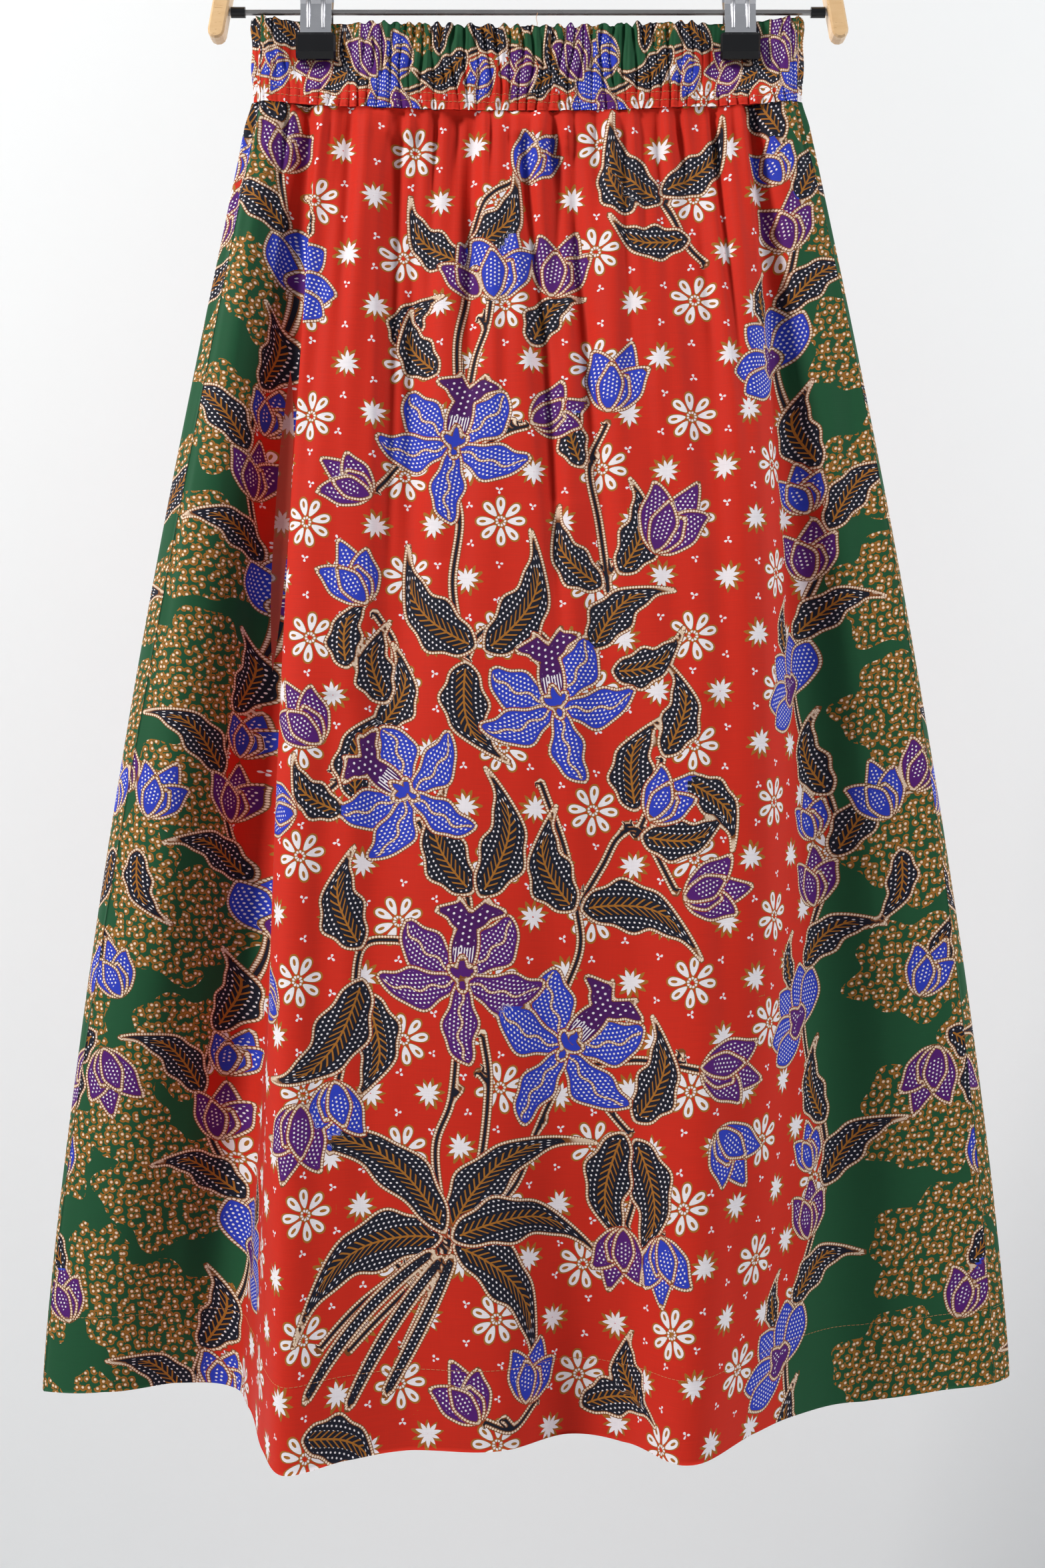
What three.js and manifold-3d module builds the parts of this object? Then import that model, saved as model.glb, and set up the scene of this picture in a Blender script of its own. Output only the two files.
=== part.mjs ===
// Elastic-waist maxi skirt in batik cotton, hanging by its waistband from a wooden clip hanger.
// Millimetres, +Z up, the front of the skirt faces -Y. The origin is the inside top of the hook,
// where it rests on a rail.
import * as THREE from 'three';
import Module from 'manifold-3d';
import { mergeVertices } from 'three/addons/utils/BufferGeometryUtils.js';

const wasm = await Module();
wasm.setup();

// Driving dimensions of the hanger
const HOOK_INNER_RADIUS = 20;
const HOOK_WIRE = 4.5;
const HOOK_HEIGHT = 58; // from the wood's top to the inside top of the hook
const ARCH_RISE = 106; // from the rod to the middle of the wood
const ARCH_HALF_MIDDLE = 8;
const ARCH_HALF_TIP = 5.2;
const WOOD_DEPTH = 14;
const WOOD_BEVEL = 1.2;
const ROD_RADIUS = 1.8;
const ROD_HALF = 194;
const COLLAR_RADIUS = 3.4;
const COLLAR_LENGTH = 9;
const ARM_FACE_X = 187.4; // the inner faces of the wood's arms, at the top of a collar
const GAP = 0.3; // between pieces that touch

// Driving dimensions of the clips
const CLIP_X = 133;
const PLATE_WIDTH = 19.5;
const PLATE_SHEET = 1.2;
const SPRING_RADIUS = 5.2;
const SPRING_LENGTH = 13;
const JAW_WIDTH = 25;
const JAW_HEIGHT = 16;
const JAW_TOP = -16; // below the rod's axis
const JAW_DEPTH = 6.2;
const PINCH_HALF = 3.8; // from the middle plane to a jaw's face

// Driving dimensions of the skirt
const BAND_HEIGHT = 53;
const BAND_TOP_MIDDLE = -12.2; // the band's top edge below the rod, halfway between the clips
const BAND_SAG = 4.6; // how much lower that is than at the clips
const BAND_WALL = 1.8; // cloth, elastic and cloth
const BAND_GATHERS = 51; // across the front, and as many across the back
const SKIRT_DROP = 818; // seam to hem edge, at the side
const RIDGE_DROP = 0.13; // a fold that stands forward hangs lower, mm for each mm
const CLOTH_WALL = 1.3;
const HEM_WALL = 2.1; // the hem is turned up twice
const HEM_TURN = 48;
const GATHER_REACH = 0.13; // share of the skirt's drop in which a gather opens out

const ROD_Z = -(HOOK_HEIGHT + ARCH_HALF_MIDDLE + ARCH_RISE);
const BAND_PINCHED = 0.68; // share of its depth that the band loses between the jaws
const BAND_HELD = 30; // how far down the band the jaws hold it
const SEAM_PINCHED = 0.3;

// Main folds, each followed from the waist seam to the hem. x is the place across, d how far the
// cloth stands forward of the hanger's middle plane, both at the waist, halfway down and at the
// hem. extra is how much lower than its neighbours the hem hangs there.
const FRONT_FOLDS = [
  { name: 'left seam', x: [-168, -249, -311], d: [6, -8, -24], extra: 3 },
  { name: 'left wing', x: [-160, -226, -269], d: [9, 0, -8], extra: -4 },
  { name: 'left wing inner', x: [-149, -194, -226], d: [10, -6, -19], extra: -4 },
  { name: 'left recess', x: [-140, -167, -194], d: [10, -13, -17], extra: 0 },
  { name: 'left return', x: [-134, -153, -175], d: [10, 4, 8], extra: 0 },
  { name: 'left flank', x: [-130, -154, -160], d: [10, 32, 58], extra: 3 },
  { name: 'left crest', x: [-122, -143, -143], d: [10, 46, 93], extra: 2 },
  { name: 'left slope', x: [-104, -114, -110], d: [10, 48, 79], extra: 0 },
  { name: 'middle left', x: [-70, -78, -74], d: [10, 47, 65], extra: 0 },
  { name: 'middle', x: [-14, -18, -18], d: [10, 51, 66], extra: 0 },
  { name: 'trough', x: [26, 26, 26], d: [10, 48, 36], extra: 3 },
  { name: 'rise', x: [56, 60, 58], d: [10, 49, 43], extra: 5 },
  { name: 'right crest', x: [90, 104, 94], d: [10, 51, 84], extra: 0 },
  { name: 'right ridge', x: [120, 144, 136], d: [10, 42, 44], extra: 0 },
  { name: 'right flank', x: [132, 162, 164], d: [10, 16, 16], extra: 2 },
  { name: 'right wing inner', x: [146, 192, 214], d: [10, -4, -7], extra: 4 },
  { name: 'right wing', x: [160, 228, 264], d: [9, -8, -18], extra: 0 },
  { name: 'right seam', x: [169, 253, 299], d: [5, -12, -24], extra: -2 },
];
const BACK_FOLDS = [
  { name: 'right turn', x: [172, 257, 312], d: [-1, -26, -36], extra: -3 },
  { name: 'back right', x: [158, 224, 262], d: [-9, -37, -54], extra: -2 },
  { name: 'back trough a', x: [108, 150, 178], d: [-10, -31, -42], extra: 0 },
  { name: 'back ridge a', x: [62, 86, 104], d: [-10, -43, -62], extra: 0 },
  { name: 'back trough b', x: [12, 18, 24], d: [-10, -34, -46], extra: 0 },
  { name: 'back ridge b', x: [-44, -58, -70], d: [-10, -44, -63], extra: 0 },
  { name: 'back trough c', x: [-98, -132, -152], d: [-10, -32, -44], extra: 0 },
  { name: 'back left', x: [-156, -222, -260], d: [-9, -38, -54], extra: -2 },
  { name: 'left turn', x: [-173, -259, -310], d: [-2, -25, -38], extra: 2 },
];

// Softer creases between the main folds. x is the place at the upper and lower end, span the
// shares of the drop where it starts and ends, width and depth its size, depth under 0 a trough.
const FRONT_CREASES = [
  { x: [-56, -106], span: [0.0, 1.0], width: 15, depth: -7 },
  { x: [14, 72], span: [0.02, 0.78], width: 17, depth: -5 },
  { x: [-34, -44], span: [0.0, 0.42], width: 9, depth: -4.5 },
  { x: [-84, -112], span: [0.0, 0.4], width: 9, depth: -3.5 },
  { x: [44, 96], span: [0.0, 0.5], width: 10, depth: -4 },
  { x: [78, 112], span: [0.0, 0.34], width: 8, depth: -4 },
  { x: [104, 128], span: [0.0, 0.6], width: 10, depth: -3.5 },
  { x: [-8, -6], span: [0.0, 0.3], width: 8, depth: 3.5 },
];
const BACK_CREASES = [
  { x: [-130, -170], span: [0.0, 0.6], width: 13, depth: -4 },
  { x: [-72, -96], span: [0.0, 0.45], width: 10, depth: -4 },
  { x: [-18, -20], span: [0.0, 0.7], width: 14, depth: -4.5 },
  { x: [34, 52], span: [0.0, 0.4], width: 9, depth: -4 },
  { x: [82, 118], span: [0.0, 0.55], width: 12, depth: -4 },
  { x: [132, 182], span: [0.0, 0.5], width: 11, depth: -4 },
];

const MATERIALS = {
  front: new THREE.MeshStandardMaterial({ color: 0xc13526, roughness: 0.8 }),
  back: new THREE.MeshStandardMaterial({ color: 0x254a33, roughness: 0.8 }),
  band: new THREE.MeshStandardMaterial({ color: 0xa8402c, roughness: 0.8 }),
  wood: new THREE.MeshStandardMaterial({ color: 0xe3c08c, roughness: 0.5 }),
  steel: new THREE.MeshStandardMaterial({ color: 0xc4c6c8, roughness: 0.2, metalness: 1 }),
  rubber: new THREE.MeshStandardMaterial({ color: 0x161618, roughness: 0.35 }),
};

const skirtOnHanger = new THREE.Group();

function addPiece(name, geometry, material) {
  const mesh = new THREE.Mesh(geometry, material);
  mesh.name = name;
  skirtOnHanger.add(mesh);
  return mesh;
}

// Curve helpers

function smoothstep(low, high, value) {
  return THREE.MathUtils.smoothstep(value, low, high);
}

// How far the skirt has opened at a share of its drop: fast at the hip, slow at the hem
function flare(share) {
  return 1 - (1 - share) ** 1.25;
}

function throughThree(values, place, middle) {
  const [start, half, end] = values;
  const a = ((place - middle) * (place - 1)) / middle;
  const b = (place * (place - 1)) / (middle * (middle - 1));
  const c = (place * (place - middle)) / (1 - middle);
  return start * a + half * b + end * c;
}

const LOOP = [...FRONT_FOLDS, ...BACK_FOLDS];
const RIGHT_SEAM = FRONT_FOLDS.length - 1;

// The closed section of the skirt at a share of its drop, counterclockwise from the left seam
function sectionCurve(share) {
  const opened = flare(share);
  const points = LOOP.map((fold) => {
    const x = throughThree(fold.x, opened, flare(0.5));
    const d = throughThree(fold.d, share, 0.5);
    return new THREE.Vector3(x, -d, 0);
  });
  return new THREE.CatmullRomCurve3(points, true, 'centripetal');
}

function creaseHeight(creases, x, share) {
  return creases.reduce((sum, crease) => {
    const [start, end] = crease.span;
    if (share < start || share > end) return sum;
    const along = (share - start) / (end - start);
    const fade = Math.sin(Math.PI * Math.sqrt(along)) ** 0.8;
    const middle = THREE.MathUtils.lerp(crease.x[0], crease.x[1], flare(along));
    return sum + crease.depth * fade * Math.exp(-(((x - middle) / crease.width) ** 2));
  }, 0);
}

// How strongly a jaw flattens the cloth at a place across the band
function pinchAt(x) {
  return 1 - smoothstep(JAW_WIDTH / 2 + 1, JAW_WIDTH / 2 + 26, Math.abs(Math.abs(x) - CLIP_X));
}

function bandTop(x) {
  return ROD_Z + BAND_TOP_MIDDLE + BAND_SAG * (x / CLIP_X) ** 2;
}

function seamHeight(x) {
  return bandTop(x) - BAND_HEIGHT;
}

// A place on the section: the point, the outward direction and the crosswise step for one fold
function sectionFrame(curve, place) {
  const turn = 1e-4;
  const at = ((place / LOOP.length) % 1 + 1) % 1;
  const point = curve.getPoint(at);
  const before = curve.getPoint((at - turn + 1) % 1);
  const after = curve.getPoint((at + turn) % 1);
  const along = after.sub(before);
  const speed = along.length() / (2 * turn * LOOP.length);
  along.normalize();
  return { point, out: new THREE.Vector3(along.y, -along.x, 0), speed };
}

// A wall from rows of columns {outer, inner}, closed at its four edges
function wallGeometry(rows) {
  const columns = rows[0].length;
  const corners = [];
  rows.forEach((row) => row.forEach((cell) => corners.push(cell.outer)));
  rows.forEach((row) => row.forEach((cell) => corners.push(cell.inner)));
  const inside = rows.length * columns;
  const outer = (r, c) => r * columns + c;
  const inner = (r, c) => inside + outer(r, c);
  const faces = [];
  const quad = (a, b, c, d) => faces.push(a, b, c, a, c, d);
  for (let r = 0; r + 1 < rows.length; r += 1) {
    for (let c = 0; c + 1 < columns; c += 1) {
      quad(outer(r, c), outer(r + 1, c), outer(r + 1, c + 1), outer(r, c + 1));
      quad(inner(r, c), inner(r, c + 1), inner(r + 1, c + 1), inner(r + 1, c));
    }
    quad(outer(r, 0), inner(r, 0), inner(r + 1, 0), outer(r + 1, 0));
    const e = columns - 1;
    quad(outer(r, e), outer(r + 1, e), inner(r + 1, e), inner(r, e));
  }
  const last = rows.length - 1;
  for (let c = 0; c + 1 < columns; c += 1) {
    quad(outer(0, c), outer(0, c + 1), inner(0, c + 1), inner(0, c));
    quad(outer(last, c), inner(last, c), inner(last, c + 1), outer(last, c + 1));
  }
  const geometry = new THREE.BufferGeometry();
  const positions = corners.flatMap((corner) => [corner.x, corner.y, corner.z]);
  geometry.setAttribute('position', new THREE.Float32BufferAttribute(positions, 3));
  geometry.setIndex(faces);
  geometry.computeVertexNormals();
  return geometry;
}

// Skirt panels: each column is a ridge or a valley of a gather at the waist and opens out below

const ROW_SHARES = [0, 0.02, 0.06, 0.13, 0.22, 0.34, 0.47, 0.6, 0.73, 0.85,
  1 - HEM_TURN / SKIRT_DROP, 1 - HEM_TURN / SKIRT_DROP + 0.006, 1];

function panelPlaces(start, end) {
  const waist = sectionCurve(0);
  const hem = sectionCurve(1);
  const places = [];
  for (let fold = start; fold < end; fold += 1) {
    const at = (curve, place) => curve.getPoint((place / LOOP.length) % 1);
    const waistWidth = at(waist, fold).distanceTo(at(waist, fold + 1));
    const hemWidth = at(hem, fold).distanceTo(at(hem, fold + 1));
    const count = Math.max(2, Math.round(waistWidth / 7), Math.round(hemWidth / 17));
    for (let i = 0; i < count; i += 1) places.push(fold + i / count);
  }
  places.push(end);
  return places;
}

function skirtPanel(start, end, creases) {
  const places = panelPlaces(start, end);
  const rows = ROW_SHARES.map((share, rowNumber) => {
    const curve = sectionCurve(share);
    const open = Math.exp(-share / GATHER_REACH);
    const wall = share > 1 - HEM_TURN / SKIRT_DROP ? HEM_WALL : CLOTH_WALL;
    return places.map((place, column) => {
      const atStart = column === 0;
      const atEnd = column === places.length - 1;
      const speed = sectionFrame(curve, place).speed;
      const inset = (GAP / 2 / speed) * (Number(atStart) - Number(atEnd));
      const { point, out } = sectionFrame(curve, place + inset);
      const seamPinch = SEAM_PINCHED * pinchAt(point.x) * (1 - smoothstep(0, 0.12, share));
      point.y *= 1 - seamPinch;
      const edge = atStart || atEnd ? 0 : 1;
      const gather = (column % 2 ? 1.8 : -1.4) * edge * open * (rowNumber ? 1.2 : 0.5);
      const crease = edge * creaseHeight(creases, point.x, share);
      const outer = point.clone().addScaledVector(out, gather + crease);
      const inner = outer.clone().addScaledVector(out, -wall);
      const fold = throughThree(
        foldExtra(place), share, 0.5);
      const top = seamHeight(point.x) - GAP / 2;
      const bottom = ROD_Z + seamToRod(0) - SKIRT_DROP + RIDGE_DROP * point.y - fold;
      const z = THREE.MathUtils.lerp(top, bottom, share);
      outer.z = z;
      inner.z = z;
      return { outer, inner };
    });
  });
  return wallGeometry(rows);
}

// The side seam's height at the waist, from which the drop is measured
function seamToRod() {
  return seamHeight(LOOP[0].x[0]) - ROD_Z;
}

// How much lower the hem hangs at a place between two folds, none at the waist
function foldExtra(place) {
  const before = LOOP[Math.floor(place) % LOOP.length].extra;
  const after = LOOP[(Math.floor(place) + 1) % LOOP.length].extra;
  const extra = THREE.MathUtils.lerp(before, after, place - Math.floor(place));
  return [0, extra * 0.5, extra];
}

addPiece('front_panel', skirtPanel(0, RIGHT_SEAM, FRONT_CREASES), MATERIALS.front);
addPiece('back_panel', skirtPanel(RIGHT_SEAM, LOOP.length, BACK_CREASES), MATERIALS.back);

// Waistband casing: elastic above, a stitched channel below, both gathered

const BAND_ROWS = [
  { down: 0, wave: 1.9 },
  { down: 9, wave: 1.5 },
  { down: 30, wave: 1.5 },
  { down: 43, wave: 0.7 },
  { down: 48, wave: 1.3 },
  { down: BAND_HEIGHT, wave: 0.6 },
];

function bandPlaces(start, end) {
  const waist = sectionCurve(0);
  const fine = 40;
  const lengths = [0];
  const at = (place) => waist.getPoint((place / LOOP.length) % 1);
  for (let i = 1; i <= (end - start) * fine; i += 1) {
    const step = at(start + i / fine).distanceTo(at(start + (i - 1) / fine));
    lengths.push(lengths[i - 1] + step);
  }
  const total = lengths[lengths.length - 1];
  const places = [];
  const count = BAND_GATHERS * 2;
  for (let k = 0, i = 0; k <= count; k += 1) {
    const uneven = k > 0 && k < count ? 0.28 * Math.sin(k * 2.4) : 0;
    const target = (total * (k + uneven)) / count;
    while (i < lengths.length - 2 && lengths[i + 1] < target) i += 1;
    const part = (target - lengths[i]) / (lengths[i + 1] - lengths[i]);
    places.push(Math.min(end, start + (i + part) / fine));
  }
  return places;
}

function waistbandHalf(start, end) {
  const waist = sectionCurve(0);
  const places = bandPlaces(start, end);
  const rows = BAND_ROWS.map(({ down, wave }) => places.map((place, column) => {
    const atStart = column === 0;
    const atEnd = column === places.length - 1;
    const speed = sectionFrame(waist, place).speed;
    const inset = (GAP / 2 / speed) * (Number(atStart) - Number(atEnd));
    const { point, out } = sectionFrame(waist, place + inset);
    const held = THREE.MathUtils.lerp(BAND_PINCHED, SEAM_PINCHED, smoothstep(BAND_HELD, BAND_HEIGHT, down));
    const pinch = pinchAt(point.x);
    point.y *= 1 - held * pinch;
    const calm = 1 - 0.85 * pinch * (1 - smoothstep(BAND_HELD, BAND_HEIGHT, down));
    const edge = atStart || atEnd ? 0 : 1;
    const uneven = 0.8 + 0.35 * Math.sin(column * 1.7 + down * 0.05);
    const gather = (column % 2 ? 1 : -0.8) * wave * edge * calm * uneven;
    const outer = point.clone().addScaledVector(out, gather);
    const inner = outer.clone().addScaledVector(out, -BAND_WALL);
    const foot = down === BAND_HEIGHT ? GAP / 2 : 0;
    const z = bandTop(point.x) - down + foot;
    outer.z = z;
    inner.z = z;
    return { outer, inner };
  }));
  return wallGeometry(rows);
}

addPiece('waistband_front', waistbandHalf(0, RIGHT_SEAM), MATERIALS.band);
addPiece('waistband_back', waistbandHalf(RIGHT_SEAM, LOOP.length), MATERIALS.band);

// Boolean cuts for the hanger's wood

function toSolid(geometry) {
  const plain = geometry.clone();
  plain.deleteAttribute('normal');
  plain.deleteAttribute('uv');
  const merged = mergeVertices(plain, 1e-4);
  return new wasm.Manifold(new wasm.Mesh({
    numProp: 3,
    vertProperties: merged.attributes.position.array,
    triVerts: Uint32Array.from(merged.index.array),
  }));
}

function toGeometry(solid) {
  const mesh = solid.getMesh();
  const geometry = new THREE.BufferGeometry();
  geometry.setAttribute('position', new THREE.Float32BufferAttribute(mesh.vertProperties, 3));
  geometry.setIndex([...mesh.triVerts]);
  geometry.computeVertexNormals();
  return geometry;
}

// Hanger: a bent arch of wood whose steep arms end just below the rod

const ARCH_MIDDLE_LINE = [
  { x: 0, up: ARCH_RISE },
  { x: 62, up: ARCH_RISE - 7 },
  { x: 122, up: ARCH_RISE - 23 },
  { x: 160, up: 68 },
  { x: 178, up: 52 },
  { x: 187, up: 32 },
  { x: 192, up: 8 },
  { x: 195.8, up: -13 },
];

function hangerWood() {
  const line = new THREE.CatmullRomCurve3(
    ARCH_MIDDLE_LINE.map(({ x, up }) => new THREE.Vector3(x, up, 0)), false, 'centripetal');
  const steps = 18;
  const rightOuter = [];
  const rightInner = [];
  for (let i = 0; i <= steps; i += 1) {
    const at = i / steps;
    const point = line.getPoint(at);
    const along = line.getTangent(at);
    const half = THREE.MathUtils.lerp(ARCH_HALF_MIDDLE, ARCH_HALF_TIP, Math.min(1, at * 1.3));
    const side = i === 0 ? new THREE.Vector3(0, 1, 0) : new THREE.Vector3(-along.y, along.x, 0);
    rightOuter.push(point.clone().addScaledVector(side, half));
    rightInner.push(point.clone().addScaledVector(side, -half));
  }
  const tip = line.getPoint(1);
  const tipAlong = line.getTangent(1);
  const tipSide = new THREE.Vector3(-tipAlong.y, tipAlong.x, 0);
  const roundTip = [30, 60, 90, 120, 150].map((degrees) => {
    const angle = THREE.MathUtils.degToRad(degrees);
    return tip.clone()
      .addScaledVector(tipSide, ARCH_HALF_TIP * Math.cos(angle))
      .addScaledVector(tipAlong, ARCH_HALF_TIP * Math.sin(angle));
  });
  const right = [...rightOuter, ...roundTip, ...rightInner.reverse()];
  const left = right.slice(1, -1).reverse().map((p) => new THREE.Vector3(-p.x, p.y, 0));
  const shape = new THREE.Shape([...right, ...left].map((p) => new THREE.Vector2(p.x, p.y)));
  const geometry = new THREE.ExtrudeGeometry(shape, {
    depth: WOOD_DEPTH - 2 * WOOD_BEVEL,
    bevelEnabled: true,
    bevelThickness: WOOD_BEVEL,
    bevelSize: WOOD_BEVEL,
    bevelOffset: -WOOD_BEVEL,
    bevelSegments: 1,
  });
  geometry.translate(0, 0, -(WOOD_DEPTH / 2 - WOOD_BEVEL));
  geometry.rotateX(Math.PI / 2);
  geometry.translate(0, 0, ROD_Z);
  const rodHole = new THREE.CylinderGeometry(
    ROD_RADIUS + GAP, ROD_RADIUS + GAP, 2 * (ROD_HALF + GAP), 16);
  rodHole.rotateZ(Math.PI / 2);
  rodHole.translate(0, 0, ROD_Z);
  const hookHole = new THREE.CylinderGeometry(
    HOOK_WIRE / 2 + GAP, HOOK_WIRE / 2 + GAP, 2 * ARCH_HALF_MIDDLE, 16);
  hookHole.rotateX(Math.PI / 2);
  hookHole.translate(0, 0, -HOOK_HEIGHT + 0.5);
  return toGeometry(
    toSolid(geometry).subtract(toSolid(rodHole)).subtract(toSolid(hookHole)));
}

function hangerHook() {
  const radius = HOOK_INNER_RADIUS + HOOK_WIRE / 2;
  const points = [
    new THREE.Vector3(0, 0, -HOOK_HEIGHT - ARCH_HALF_MIDDLE + 1),
    new THREE.Vector3(0, 0, -HOOK_HEIGHT),
    new THREE.Vector3(0.6, 0, -51),
    new THREE.Vector3(5, 0, -44.5),
  ];
  for (let degrees = -48; degrees <= 200; degrees += 15.5) {
    const angle = THREE.MathUtils.degToRad(degrees);
    points.push(new THREE.Vector3(
      radius * Math.cos(angle), 0, -HOOK_INNER_RADIUS + radius * Math.sin(angle)));
  }
  const wire = new THREE.Shape();
  wire.absarc(0, 0, HOOK_WIRE / 2, 0, Math.PI * 2);
  return new THREE.ExtrudeGeometry(wire, {
    curveSegments: 8,
    steps: 34,
    extrudePath: new THREE.CatmullRomCurve3(points, false, 'centripetal'),
  });
}

function alongX(geometry, x, z) {
  geometry.rotateZ(Math.PI / 2);
  geometry.translate(x, 0, z);
  return geometry;
}

// A ring around the rod: a collar or a clip's spring
function rodRing(outerRadius, length) {
  const half = length / 2;
  const bore = ROD_RADIUS + GAP;
  const profile = [[bore, -half], [outerRadius, -half], [outerRadius, half], [bore, half],
    [bore, -half]].map(([r, y]) => new THREE.Vector2(r, y));
  const ring = new THREE.LatheGeometry(profile, 16);
  ring.deleteAttribute('normal');
  ring.deleteAttribute('uv');
  return mergeVertices(ring, 1e-4);
}

addPiece('hanger_wood', hangerWood(), MATERIALS.wood);
addPiece('hanger_hook', hangerHook(), MATERIALS.steel);
const rod = new THREE.CylinderGeometry(ROD_RADIUS, ROD_RADIUS, 2 * ROD_HALF, 14);
addPiece('hanger_rod', alongX(rod, 0, ROD_Z), MATERIALS.steel);
const COLLAR_X = ARM_FACE_X - GAP - COLLAR_LENGTH / 2;
for (const [side, sign] of [['left', -1], ['right', 1]]) {
  const collar = rodRing(COLLAR_RADIUS, COLLAR_LENGTH);
  addPiece(`rod_collar_${side}`, alongX(collar, sign * COLLAR_X, ROD_Z), MATERIALS.rubber);
}

// Clips: two bent plates on the spring, each ending in a rubber jaw

const PLATE_LINE = [ // how far out from the middle plane, and how high over the rod
  { out: 15.5, up: 28 },
  { out: 9.6, up: 10 },
  { out: SPRING_RADIUS + GAP, up: 3 },
  { out: SPRING_RADIUS + GAP, up: -4 },
  { out: 7.6, up: -9 },
  { out: 7.6, up: JAW_TOP + GAP },
];

function clipPlate(x, facing) {
  const inner = PLATE_LINE.map(({ out, up }) => new THREE.Vector2(out, up));
  const outer = PLATE_LINE.map(({ out, up }) => new THREE.Vector2(out + PLATE_SHEET, up));
  const shape = new THREE.Shape([...inner, ...outer.reverse()]);
  const geometry = new THREE.ExtrudeGeometry(shape, { depth: PLATE_WIDTH, bevelEnabled: false });
  geometry.translate(0, 0, -PLATE_WIDTH / 2);
  placeProfile(geometry, x, facing);
  return geometry;
}

// Turns a profile drawn as (out, up) and extruded across into the clip's own place
function placeProfile(geometry, x, facing) {
  geometry.applyMatrix4(new THREE.Matrix4().makeBasis(
    new THREE.Vector3(0, facing, 0),
    new THREE.Vector3(0, 0, 1),
    new THREE.Vector3(facing, 0, 0),
  ));
  geometry.translate(x, 0, ROD_Z);
}

function clipJaw(x, facing) {
  const foot = JAW_TOP - JAW_HEIGHT;
  const outline = [
    [PINCH_HALF, JAW_TOP],
    [PINCH_HALF, foot + 1],
    [PINCH_HALF + 1, foot],
    [PINCH_HALF + JAW_DEPTH - 2.2, foot],
    [PINCH_HALF + JAW_DEPTH, foot + 4],
    [PINCH_HALF + JAW_DEPTH, JAW_TOP - 1.5],
    [PINCH_HALF + JAW_DEPTH - 1, JAW_TOP],
  ].map(([out, up]) => new THREE.Vector2(out, up));
  const bevel = 1.2;
  const geometry = new THREE.ExtrudeGeometry(new THREE.Shape(outline), {
    depth: JAW_WIDTH - 2 * bevel,
    bevelEnabled: true,
    bevelThickness: bevel,
    bevelSize: bevel,
    bevelOffset: -bevel,
    bevelSegments: 1,
  });
  geometry.translate(0, 0, bevel - JAW_WIDTH / 2);
  placeProfile(geometry, x, facing);
  return geometry;
}

for (const [side, sign] of [['left', -1], ['right', 1]]) {
  const x = sign * CLIP_X;
  const spring = rodRing(SPRING_RADIUS, SPRING_LENGTH);
  addPiece(`clip_spring_${side}`, alongX(spring, x, ROD_Z), MATERIALS.steel);
  for (const [layer, facing] of [['front', -1], ['back', 1]]) {
    addPiece(`clip_plate_${side}_${layer}`, clipPlate(x, facing), MATERIALS.steel);
    addPiece(`clip_jaw_${side}_${layer}`, clipJaw(x, facing), MATERIALS.rubber);
  }
}

export default skirtOnHanger;
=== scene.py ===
# %% [markdown]
# A batik maxi skirt on a clip hanger, dressed for a studio picture.
# The skirt and its hanger are loaded as fixed solids in metres, +Z up, the front facing -Y.
# Each following pair of cells first tells what a piece is on the real skirt, and then makes it.

# %% Load the frame
import math
from typing import NamedTuple

import bpy
import numpy as np
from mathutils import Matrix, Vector


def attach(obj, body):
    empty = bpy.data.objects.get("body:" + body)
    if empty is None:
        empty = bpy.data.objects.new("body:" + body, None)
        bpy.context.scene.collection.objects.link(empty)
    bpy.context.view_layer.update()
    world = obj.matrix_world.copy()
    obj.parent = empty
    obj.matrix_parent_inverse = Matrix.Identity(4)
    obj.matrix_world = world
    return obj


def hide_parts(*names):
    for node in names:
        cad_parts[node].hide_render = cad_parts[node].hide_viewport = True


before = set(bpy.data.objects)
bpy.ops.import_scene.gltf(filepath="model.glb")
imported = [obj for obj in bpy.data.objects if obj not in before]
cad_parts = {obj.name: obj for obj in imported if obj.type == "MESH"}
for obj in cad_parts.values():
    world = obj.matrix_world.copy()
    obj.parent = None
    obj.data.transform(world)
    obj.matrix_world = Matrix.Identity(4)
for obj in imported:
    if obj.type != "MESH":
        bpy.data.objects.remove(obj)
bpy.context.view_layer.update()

MM = 0.001
TURN = 2 * math.pi

# %% [markdown]
# The picture looks as if taken square on, with the camera level with the middle of the skirt.
# Nothing in it fixes how far away the camera stood, so a usual lens is assumed, which puts it
# 1.26 m away. That near, it draws near folds larger, which an orthographic camera would lose.

# %% Camera
ROD_Z = -172.0
CAMERA_SPOT = (-3.5, -1260.0, ROD_Z - 486.0)
LONG_SIDE_PIXELS = 2352
FOCAL_PIXELS = 3000
SENSOR = 36.0


def add_object(name, data):
    made = bpy.data.objects.new(name, data)
    bpy.context.collection.objects.link(made)
    return made


def place_camera():
    data = bpy.data.cameras.new("camera")
    data.sensor_width = SENSOR
    data.lens = FOCAL_PIXELS / LONG_SIDE_PIXELS * SENSOR
    camera = add_object("camera", data)
    camera.location = Vector(CAMERA_SPOT) * MM
    camera.rotation_euler = (math.radians(90), 0, 0)
    bpy.context.scene.camera = camera
    return camera


camera = place_camera()
print("lens", round(camera.data.lens, 1), "mm")

# %% [markdown]
# Materials are made of nodes. A small helper keeps the making of a node, its links and its
# constants on one line, so that a finish reads like a sum.

# %% Node helper
def srgb(*channels):
    """A colour as a painter reads it off a screen, 0 to 255, turned into linear light."""
    linear = [c / 255 / 12.92 if c <= 10 else ((c / 255 + 0.055) / 1.055) ** 2.4 for c in channels]
    return (*linear, 1.0)


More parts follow.
